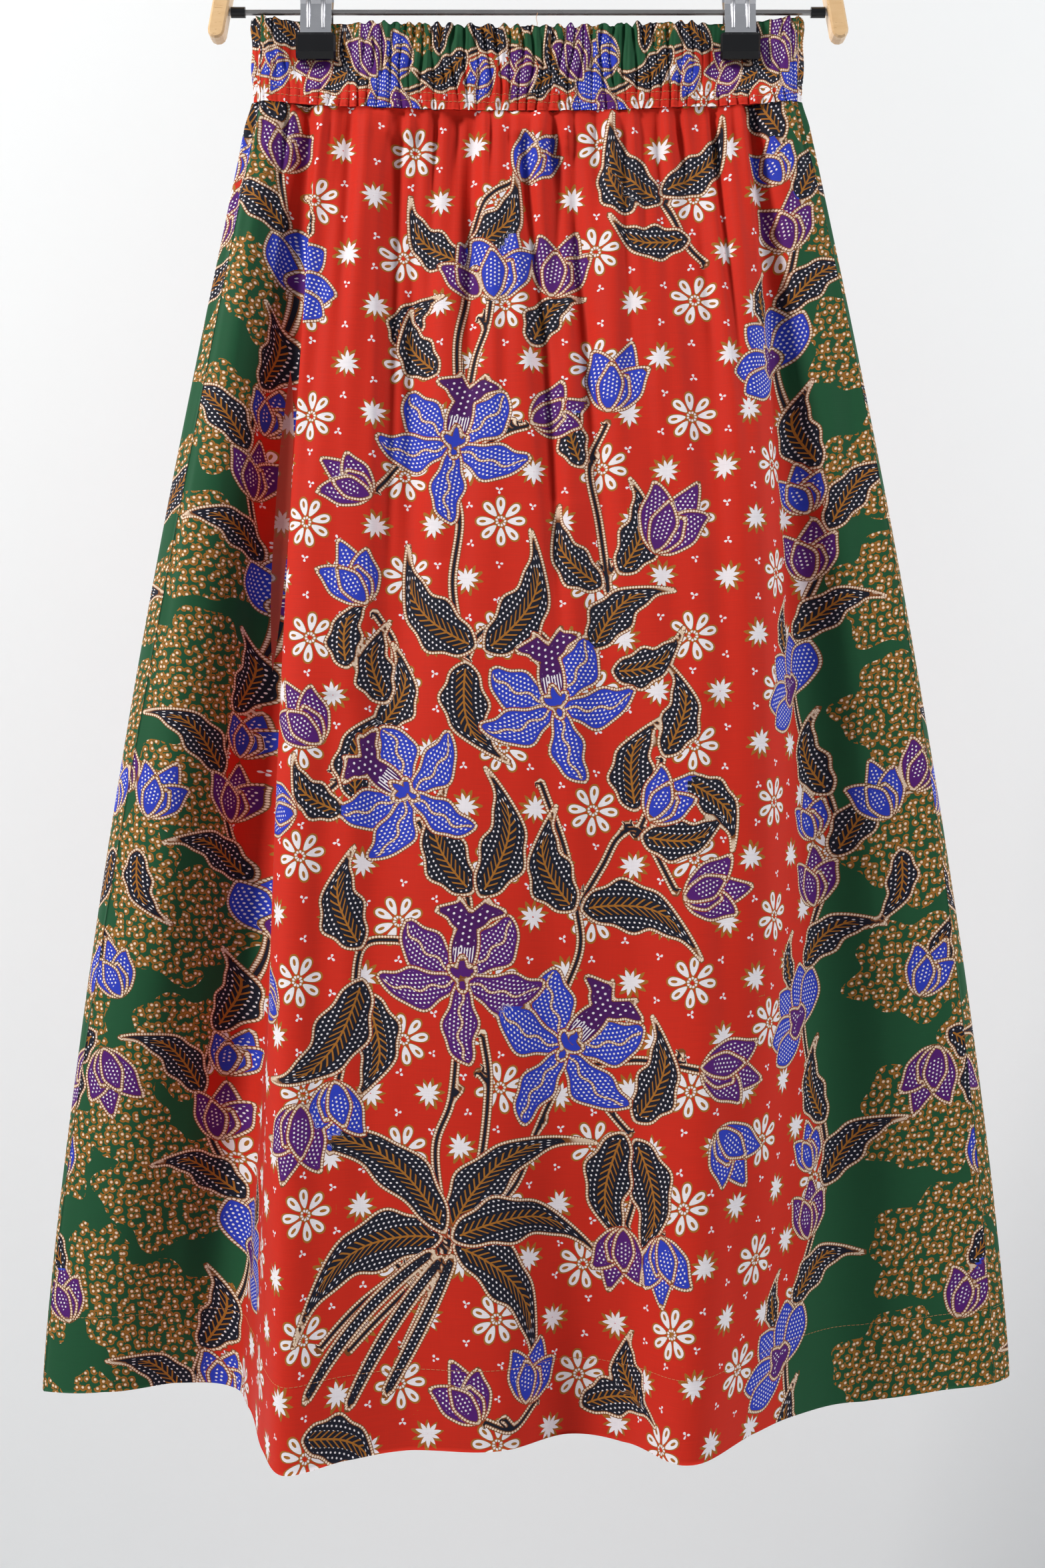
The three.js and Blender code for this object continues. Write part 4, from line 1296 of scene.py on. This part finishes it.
# %% Cotton weave
def build_cotton_weave(b, i):
    level = b.vector("MULTIPLY", i["Cloth"], (0.06, 1.9, 0.0))
    upright = b.vector("MULTIPLY", i["Cloth"], (2.3, 0.05, 0.0))
    weft = b.noise(1.0, 2.0, level)
    warp = b.noise(1.0, 1.0, upright)
    streak = b.plus(b.times(weft, 0.7), b.times(warp, 0.3))
    return {"Streak": b.fade(streak, 0.3, 0.7), "Height": streak}


cotton_weave = node_group("cotton_weave", {"Cloth": ("vector", (0, 0, 0))},
                          {"Streak": "value", "Height": "value"}, build_cotton_weave)

# %% [markdown]
# The printed cotton itself. Starting from the ground, each group's masks lay one colour over the
# last: small motifs, bead clusters, stems, then the flowers and leaves with their beaded edges.

# %% Batik cotton
RED = srgb(206, 42, 24)
GREEN = srgb(29, 82, 51)
GOLD = srgb(166, 106, 38)
CREAM = srgb(246, 222, 196)
WHITE = srgb(242, 236, 240)
BLACK = srgb(22, 24, 38)
BLUE_DYE = srgb(44, 62, 186)
PURPLE_DYE = srgb(84, 28, 112)
LIP_DYE = srgb(74, 22, 92)
LINE_BROWN = srgb(128, 74, 34)


def batik_cotton(name, shown=1.0):
    """shown under 1 is the reverse of the cloth, where the dye came through more weakly."""
    material, b, shader = new_material(name, Roughness=0.78, Sheen_Weight=0.04,
                                       Sheen_Roughness=0.4, Specular_IOR_Level=0.18)
    cloth = b.attribute("cloth")
    ground = b.attribute("ground")
    motif = b.attribute("motif")
    side, patch, _ = b.split(ground)
    kind = b.split(cloth)[2]
    reach = b.split(motif)[2]
    flowers = b.group(daisy, Offset=motif)
    stars = b.group(star, Offset=motif)
    is_star = b.above(kind, 1.5)
    white = b.blend(is_star, flowers[0], stars[0])
    gold = b.blend(is_star, flowers[1], stars[1])
    centre_dot = b.below(reach, 0.6)
    middle = b.blend(is_star, flowers[2], centre_dot)
    limit = b.blend(is_star, DAISY_LIMIT, STAR_LIMIT)
    close = b.below(reach, limit)
    sprinkle = b.attribute("sprinkle")
    dots = b.group(three_dots, Offset=sprinkle)[0]
    dots = b.times(dots, b.below(b.split(sprinkle)[2], 5.0))
    apart = b.above(reach, 11.0)
    colour = b.mix(b.times(dots, apart), RED, WHITE)
    colour = b.mix(b.times(gold, close), colour, GOLD)
    colour = b.mix(b.times(white, close), colour, WHITE)
    colour = b.mix(b.times(middle, close), colour, RED)
    beads = b.group(curled_beads, Cloth=cloth)
    clustered = b.below(patch, 0.0)
    green = b.mix(b.times(beads[1], clustered), GREEN, GOLD)
    green = b.mix(b.times(beads[0], clustered), green, CREAM)
    colour = b.mix(b.above(side, 0.0), colour, green)
    stem = b.split(b.attribute("stem"))
    thin = b.minus(b.size(stem[0]), 1.05)
    hidden = b.times(b.above(stem[2], 4.0), FAR)
    edge = b.join(b.plus(thin, hidden), stem[1], LEAF)
    place = b.join(20.0, 20.0, 0.0)
    for layer in range(PRINT_LAYERS):
        over = b.group(top_layer, Lower_edge=edge, Lower_place=place,
                       Edge=b.attribute(f"edge_{layer}"), Place=b.attribute(f"place_{layer}"))
        edge, place = over[0], over[1]
    distance, running, dye = b.split(edge)
    along, aside, ribbed = b.split(place)
    is_leaf = b.below(dye, 1.5)
    is_purple = b.above(dye, 2.5)
    is_lip = b.above(dye, 3.5)
    petal = b.mix(is_purple, BLUE_DYE, PURPLE_DYE)
    petal = b.mix(is_lip, petal, LIP_DYE)
    inside = b.below(distance, -1.0)
    fine = b.group(dot_field, Place=place)[0]
    sparse = b.group(dot_field, Place=place, Pitch=3.9, Radius=0.6)[0]
    spaced = b.group(dot_field, Place=place, Pitch=2.9, Radius=0.46)[0]
    dotted = b.blend(is_lip, fine, sparse)
    past_throat = b.above(along, 7.5)
    well_inside = b.below(distance, -1.7)
    dotted = b.times(b.times(dotted, past_throat), well_inside)
    petal = b.mix(dotted, petal, WHITE)
    fringe = b.fraction(b.over(aside, 1.7))
    fringe = b.times(b.below(fringe, 0.45), is_lip)
    fringe = b.times(fringe, b.math("COMPARE", along, 14.0, 5.0))
    petal = b.mix(b.times(fringe, inside), petal, WHITE)
    vein = b.group(leaf_veins, Place=place)[0]
    half = b.times(ribbed, 0.37)
    deep = b.below(b.size(aside), half)
    deep = b.times(deep, b.below(distance, -3.0))
    rim_dots = b.times(spaced, b.minus(inside, deep, clamp=True))
    blade_colour = b.mix(b.times(vein, deep), BLACK, GOLD)
    blade_colour = b.mix(rim_dots, blade_colour, WHITE)
    fill = b.mix(is_leaf, petal, blade_colour)
    colour = b.mix(b.below(distance, 0.0), colour, fill)
    outline_beads = b.group(bead_row, Along=running, Offset=b.minus(distance, 0.85))[0]
    lined = b.math("COMPARE", distance, 0.85, 1.1)
    wave = b.times(b.math("SINE", b.times(along, 0.42)), 1.3)
    from_rib = b.minus(aside, wave)
    on_rib = b.below(b.size(from_rib), 1.0)
    has_rib = b.math("COMPARE", ribbed, 1.0, 0.1)
    on_rib = b.times(b.times(on_rib, has_rib), inside)
    rib_beads = b.group(bead_row, Along=along, Offset=from_rib)[0]
    lined = b.larger(lined, on_rib)
    beaded = b.larger(outline_beads, b.times(rib_beads, on_rib))
    colour = b.mix(lined, colour, LINE_BROWN)
    colour = b.mix(b.times(beaded, lined), colour, CREAM)
    weave = b.group(cotton_weave, Cloth=cloth)
    darker = b.node("ShaderNodeHueSaturation", {"Value": 0.86, "Color": colour})
    colour = b.mix(weave[0], darker, colour)
    if shown < 1:
        colour = b.mix(1 - shown, colour, srgb(176, 120, 100))
    roughness = b.math("MULTIPLY_ADD", weave[0], 0.1, 0.7)
    bump = b.node("ShaderNodeBump", {"Strength": 0.25, "Distance": 0.0002, "Height": weave[1]})
    feed(b, shader, Base_Color=colour, Roughness=roughness, Normal=bump)
    print(name, len(material.node_tree.nodes), "nodes")
    return material


batik = batik_cotton("batik_cotton")
batik_reverse = batik_cotton("batik_reverse", 0.6)

# %% [markdown]
# The two skirt panels. Front and back are cut alike, the front wider at the hem. They are gathered
# at the waist seam and have a turned hem. Each has 265 by 331 points, fine enough for the gathers.

# %% Front and back panels
ROWS = 110 * COARSE + 1
COLUMNS = 88 * COARSE + 1
MIDDLE_OF_FRONT = 9.0
MIDDLE_OF_BACK = 22.2


def skirt_panel(name, start, end, middle, creases, recesses, side, drop, seed):
    shares = np.linspace(0, 1, ROWS)
    places = even_places(start, end, COLUMNS, 0.7)
    outer, inner = panel_form(places, shares, creases, recesses)
    u, v, fullness = cloth_coordinates(places, shares, middle)
    fields = panel_print(u, v, fullness, side, drop, seed)
    piece = cloth_shell(name, outer, inner[::COARSE, ::COARSE], fields, (batik, batik_reverse))
    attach(piece, "root")
    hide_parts(name.replace("_cloth", ""))
    hem = running_length(section(np.array([1.0]), places))[0, -1] * MM
    return outer


front = skirt_panel("front_panel_cloth", LEFT_SEAM, RIGHT_SEAM, MIDDLE_OF_FRONT,
                    FRONT_CREASES + FRONT_FINE_CREASES, FRONT_RECESSES, 1, 0, 11)
back = skirt_panel("back_panel_cloth", RIGHT_SEAM, len(LOOP), MIDDLE_OF_BACK,
                   BACK_CREASES + BACK_FINE_CREASES, [], -1, -20, 12)

# %% [markdown]
# The waistband is a casing cut from the border of the same cloth and gathered over elastic. Two
# rows of stitching hold the elastic, the cloth puffs up between and below them, and its top edge
# stands up as a small ruffle. The gathers are rounded ridges with sharp valleys, so a cosine's
# absolute value makes them, slightly uneven. The jaws press the casing flat.

# %% Waistband
BAND_ROWS = 12 * COARSE + 1
BAND_COLUMNS = 142 * COARSE + 1
BAND_FULLNESS = 1.6
BAND_WAVE_DOWN = (0, 6, 14, 30, 40, 43, 45.5, 48, 50.5, 53)
BAND_WAVE = (2.3, 2.7, 2.2, 2.3, 2.0, 1.1, 2.0, 1.1, 1.9, 1.1)
STITCH_ROWS = (43.0, 48.0)
BAND_BORDER = 28.0
BAND_GARLAND = [  # what grows between the flowers of the casing's piece of border
    ("leaf", 16, 36, 64, 46), ("leaf", 2, 62, -20, 44), ("purple", 8, 88, 64, 1.1),
    ("blue", 18, 124, 14, 0.9), ("leaf", 14, 150, 96, 42),
]


def band_gathers(w, down):
    """From -1 in a valley to 1 on a ridge."""
    lean = 0.9 * np.sin(w / 17.0 + down / 15.0) + 0.5 * np.sin(w / 5.3 - down / 9.0)
    ridge = 2 * np.abs(np.cos(np.pi * w / GATHER_PITCH + lean)) ** 0.75 - 1
    fine = np.sin(TURN * w / 3.1 + 1.1 * np.sin(w / 9.0) + down / 11.0)
    uneven = 0.7 + 0.4 * np.sin(w / 8.7 + down / 12.0) * np.sin(w / 5.9 - down / 8.0)
    return uneven * ridge + 0.2 * fine


def band_form(places):
    down = np.linspace(0, BAND_HEIGHT, BAND_ROWS)[:, None]
    base = np.repeat(section(np.array([0.0]), places), BAND_ROWS, 0)
    turn = 1e-4
    along = section(np.array([0.0]), places + turn) - section(np.array([0.0]), places - turn)
    along = along / np.linalg.norm(along, axis=-1, keepdims=True)
    out = np.repeat(np.stack([along[..., 1], -along[..., 0]], -1), BAND_ROWS, 0)
    base[:, 0] += along[:, 0] * GAP / 2
    base[:, -1] -= along[:, -1] * GAP / 2
    x = base[..., 0]
    w = running_length(base[:1])
    ends = smooth(0, 4, w) * smooth(0, 4, w[:, -1:] - w)
    released = smooth(BAND_HELD, BAND_HEIGHT, down)
    pinch = pinch_at(x)
    base[..., 1] *= 1 - (BAND_PINCHED + (SEAM_PINCHED - BAND_PINCHED) * released) * pinch
    calm = 1 - 0.85 * pinch * (1 - released)
    height = np.interp(down, BAND_WAVE_DOWN, BAND_WAVE) * calm * ends * band_gathers(w, down)
    outer_xy = base + out * height[..., None]
    behind = lowest_near(height, COARSE) - 0.4 - 0.6 * smooth(0, 4, down)
    inner_xy = base + out * behind[..., None]
    peaks = np.sin(TURN * w / 9.3 + 1.9 * np.sin(w / 14.0)) + 0.5 * np.sin(w / 1.1)
    ruffle = 1.1 * peaks * (1 - smooth(0, 9, down)) * calm
    foot = GAP / 2 * (down == BAND_HEIGHT)
    z = (band_top(x) - down + foot + ruffle)[..., None]
    return np.concatenate([outer_xy, z], -1), np.concatenate([inner_xy, z], -1), w


def band_half(name, start, end, offset, seed):
    places = even_places(start, end, BAND_COLUMNS, 0.0)
    outer, inner, w = band_form(places)
    down = np.linspace(0, BAND_HEIGHT, BAND_ROWS)[:, None]
    v = np.repeat(offset + w * BAND_FULLNESS, BAND_ROWS, 0)
    middle, drift = GARLAND_U[1]
    u = middle + drift * v + BAND_BORDER - down
    sheet = PrintSheet(u, v, np.ones(2))
    draw_garland(sheet, 1)
    draw_garland(sheet, 1, BAND_GARLAND, 96)
    fields = print_fields(sheet, sheet.u - garland_line(sheet.v, 1), seed, CASING_PATCHES)
    piece = cloth_shell(name, outer, inner[::COARSE, ::COARSE], fields, (batik, batik_reverse))
    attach(piece, "root")
    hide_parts(name.replace("_cloth", ""))
    return outer


band_front = band_half("waistband_front_cloth", LEFT_SEAM, RIGHT_SEAM, 20, 13)
band_back = band_half("waistband_back_cloth", RIGHT_SEAM, len(LOOP), 90, 14)

# %% [markdown]
# Stitching is real thread: two tan rows along the waistband and one along the hem. Each stitch
# is a short thread that rises out of the cloth and dips back in, made as a small bent tube.

# %% Stitching
def thread_tubes(name, strands, radius, material, sides=5):
    """Joins many short threads, each a list of points in mm, into one piece of tubes."""
    corners, faces = [], []
    for strand in strands:
        strand = np.asarray(strand, float)
        ahead = np.gradient(strand, axis=0)
        ahead /= np.linalg.norm(ahead, axis=1, keepdims=True)
        aside = np.cross(ahead, (0.31, 0.9, 0.3))
        aside /= np.linalg.norm(aside, axis=1, keepdims=True)
        over = np.cross(ahead, aside)
        first = len(corners)
        for spot, right, up in zip(strand, aside, over):
            for k in range(sides):
                angle = TURN * k / sides
                corners.append(spot + radius * (right * math.cos(angle) + up * math.sin(angle)))
        for ring in range(len(strand) - 1):
            for k in range(sides):
                a, b = first + ring * sides + k, first + ring * sides + (k + 1) % sides
                faces.append((a, b, b + sides, a + sides))
        faces.append(tuple(first + k for k in reversed(range(sides))))
        last = first + (len(strand) - 1) * sides
        faces.append(tuple(last + k for k in range(sides)))
    mesh = bpy.data.meshes.new(name)
    mesh.from_pydata((np.array(corners) * MM).tolist(), [], faces)
    mesh.polygons.foreach_set("use_smooth", [True] * len(faces))
    mesh.materials.append(material)
    piece = add_object(name, mesh)
    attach(piece, "root")
    return piece


def row_stitches(outer, row, pitch, share=0.72, lift=0.22):
    """Stitches along one level of a cloth's outer face, given as a part of its rows."""
    low = min(int(row), len(outer) - 2)
    part = row - low
    line = outer[low] + (outer[low + 1] - outer[low]) * part
    length = running_length(line[None])[0]
    down = outer[low + 1] - outer[low]
    along = np.gradient(line, axis=0)
    out = np.cross(down, along)
    out /= np.linalg.norm(out, axis=1, keepdims=True)
    strands = []
    for start in np.arange(pitch, length[-1] - pitch, pitch):
        at = start + pitch * share * np.array([0, 0.25, 0.5, 0.75, 1])
        spot = np.stack([np.interp(at, length, line[:, k]) for k in range(3)], -1)
        away = np.stack([np.interp(at, length, out[:, k]) for k in range(3)], -1)
        rise = np.array([-0.3, 0.8, 1, 0.8, -0.3])[:, None] * lift
        strands.append(spot + away * rise)
    return strands


def thread_material():
    material, b, shader = new_material("tan_thread", Roughness=0.6)
    fibre = b.noise(900.0, 1.0)
    feed(b, shader, Base_Color=b.mix(fibre, srgb(170, 112, 66), srgb(214, 160, 104)))
    return material


LOOSE_END_X = 5.7  # a cut thread end stands up here above the ruffle
thread = thread_material()
casing_stitches = []
for outer in (band_front, band_back):
    for down in STITCH_ROWS:
        row = down / BAND_HEIGHT * (BAND_ROWS - 1)
        casing_stitches += row_stitches(outer, row, 2.9, lift=0.2)
hem_row = (1 - HEM_TURN / SKIRT_DROP) * (ROWS - 1)
hem_stitches = []
for outer in (front, back):
    hem_stitches += row_stitches(outer, hem_row, 3.0, lift=0.16)
middle_top = band_front[0, abs(band_front[0, :, 0] - LOOSE_END_X).argmin()]
loose = [(0.0, 0.6, -4.0), (0.3, 0.2, 2.0), (-0.4, -0.1, 5.0), (0.5, -0.4, 8.0)]
casing_stitches.append([middle_top + step for step in np.array(loose)])
casing_thread = thread_tubes("casing_stitching", casing_stitches, 0.17, thread)
hem_thread = thread_tubes("hem_stitching", hem_stitches, 0.15, thread)
print(len(casing_stitches), "stitches in the casing,", len(hem_stitches), "in the hem")

# %% [markdown]
# Hanger metal: the clips, rod and hook are bright plated steel with faint wiping marks. Each
# clip plate has two pressed ribs, made here as rounded bars that sit on the plate. The ribs get a
# darker, rougher copy of the steel: the rougher finish is real, and the darker colour is painted
# shade that dims their highlights.

# %% Plated steel
def chrome(name, dark, light, dullness):
    material, b, shader = new_material(name, Metallic=1.0)
    smudge = b.noise(45.0, 2.0)
    feed(b, shader, Base_Color=b.mix(smudge, dark, light))
    feed(b, shader, Roughness=b.math("MULTIPLY_ADD", smudge, 0.05, dullness))
    return material


def dress(names, material, bevel=0.0):
    for name in names:
        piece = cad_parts[name]
        piece.data.materials.clear()
        piece.data.materials.append(material)
        if bevel:
            edge = piece.modifiers.new("soft_edge", "BEVEL")
            edge.width = bevel * MM
            edge.segments = 2
            edge.limit_method = "ANGLE"
            edge.angle_limit = math.radians(30)


steel = chrome("chrome_steel", srgb(196, 196, 200), srgb(226, 226, 229), 0.19)
plates = [f"clip_plate_{side}_{face}" for side in ("left", "right") for face in ("front", "back")]
springs = ["clip_spring_left", "clip_spring_right"]
dress(plates, steel, 0.25)
dress([*springs, "hanger_hook"], steel)
dress(["hanger_rod"], chrome("dull_steel", srgb(150, 147, 147), srgb(176, 173, 171), 0.25))
# darker than the plate steel: painted shade over the ribs' highlights
rib_steel_painted_shade = chrome("rib_steel_painted_shade", srgb(176, 176, 180), srgb(196, 196, 199), 0.34)


def pressed_rib(name, x, side):
    """A rounded bar down a clip plate's slope. side is -1 on the front and 1 on the back."""
    path = [(15.9, 25.5), (10.1, 8.6), (7.9, 3.4), (7.6, -3.4), (8.2, -8.4), (8.1, -13.0)]
    line = smooth_line(np.array(path), 8)
    spots = [(x, side * (out - 0.1), ROD_Z + up) for out, up in line]
    return thread_tubes(name, [spots], 1.3, rib_steel_painted_shade, 16)


RIB_SHIFT = 4.6  # how far each rib lies from the middle of its plate
for label, x in (("left", -CLIP_X), ("right", CLIP_X)):
    for face, side in (("front", -1), ("back", 1)):
        for shift, word in ((-RIB_SHIFT, "a"), (RIB_SHIFT, "b")):
            rib = pressed_rib(f"plate_rib_{label}_{face}_{word}", x + shift, side)
print("ribs on", len(plates), "plates")

# %% [markdown]
# The jaws are dipped in smooth black rubber, which shines softly along its rounded edges. The
# rod's collars are the same rubber.

# %% Black rubber
def rubber():
    material, b, shader = new_material("black_rubber", Specular_IOR_Level=0.3, Coat_Weight=0.25,
                                       Coat_Roughness=0.06)
    uneven = b.noise(90.0, 2.0)
    feed(b, shader, Base_Color=b.mix(uneven, srgb(7, 7, 10), srgb(13, 13, 16)))
    feed(b, shader, Roughness=b.math("MULTIPLY_ADD", uneven, 0.08, 0.2))
    return material


black = rubber()
jaws = [f"clip_jaw_{side}_{face}" for side in ("left", "right") for face in ("front", "back")]
dress(jaws, black, 0.9)
dress(["rod_collar_left", "rod_collar_right"], black, 0.4)
print(len(jaws), "jaws")

# %% [markdown]
# The hanger is pale wood under a clear lacquer. Its grain runs along the arms, so
# the noise is stretched across the hanger, and short dark flecks lie in the same direction.

# %% Pale wood
def pale_wood():
    material, b, shader = new_material("pale_wood", Roughness=0.35, Coat_Weight=0.3,
                                       Coat_Roughness=0.2)
    spot = b.node("ShaderNodeTexCoord", output=3)
    grain = b.noise(1.0, 5.0, b.vector("MULTIPLY", spot, (38.0, 420.0, 160.0)), Distortion=0.6)
    flecks = b.noise(1.0, 2.0, b.vector("MULTIPLY", spot, (160.0, 900.0, 900.0)))
    tone = b.mix(grain, srgb(206, 158, 106), srgb(240, 208, 160))
    dark = b.above(flecks, 0.66)
    feed(b, shader, Base_Color=b.mix(b.times(dark, 0.5), tone, srgb(176, 124, 78)))
    bump = b.node("ShaderNodeBump", {"Strength": 0.1, "Distance": 0.0003, "Height": grain})
    feed(b, shader, Normal=bump)
    return material


dress(["hanger_wood"], pale_wood(), 0.8)
print("hanger dressed")
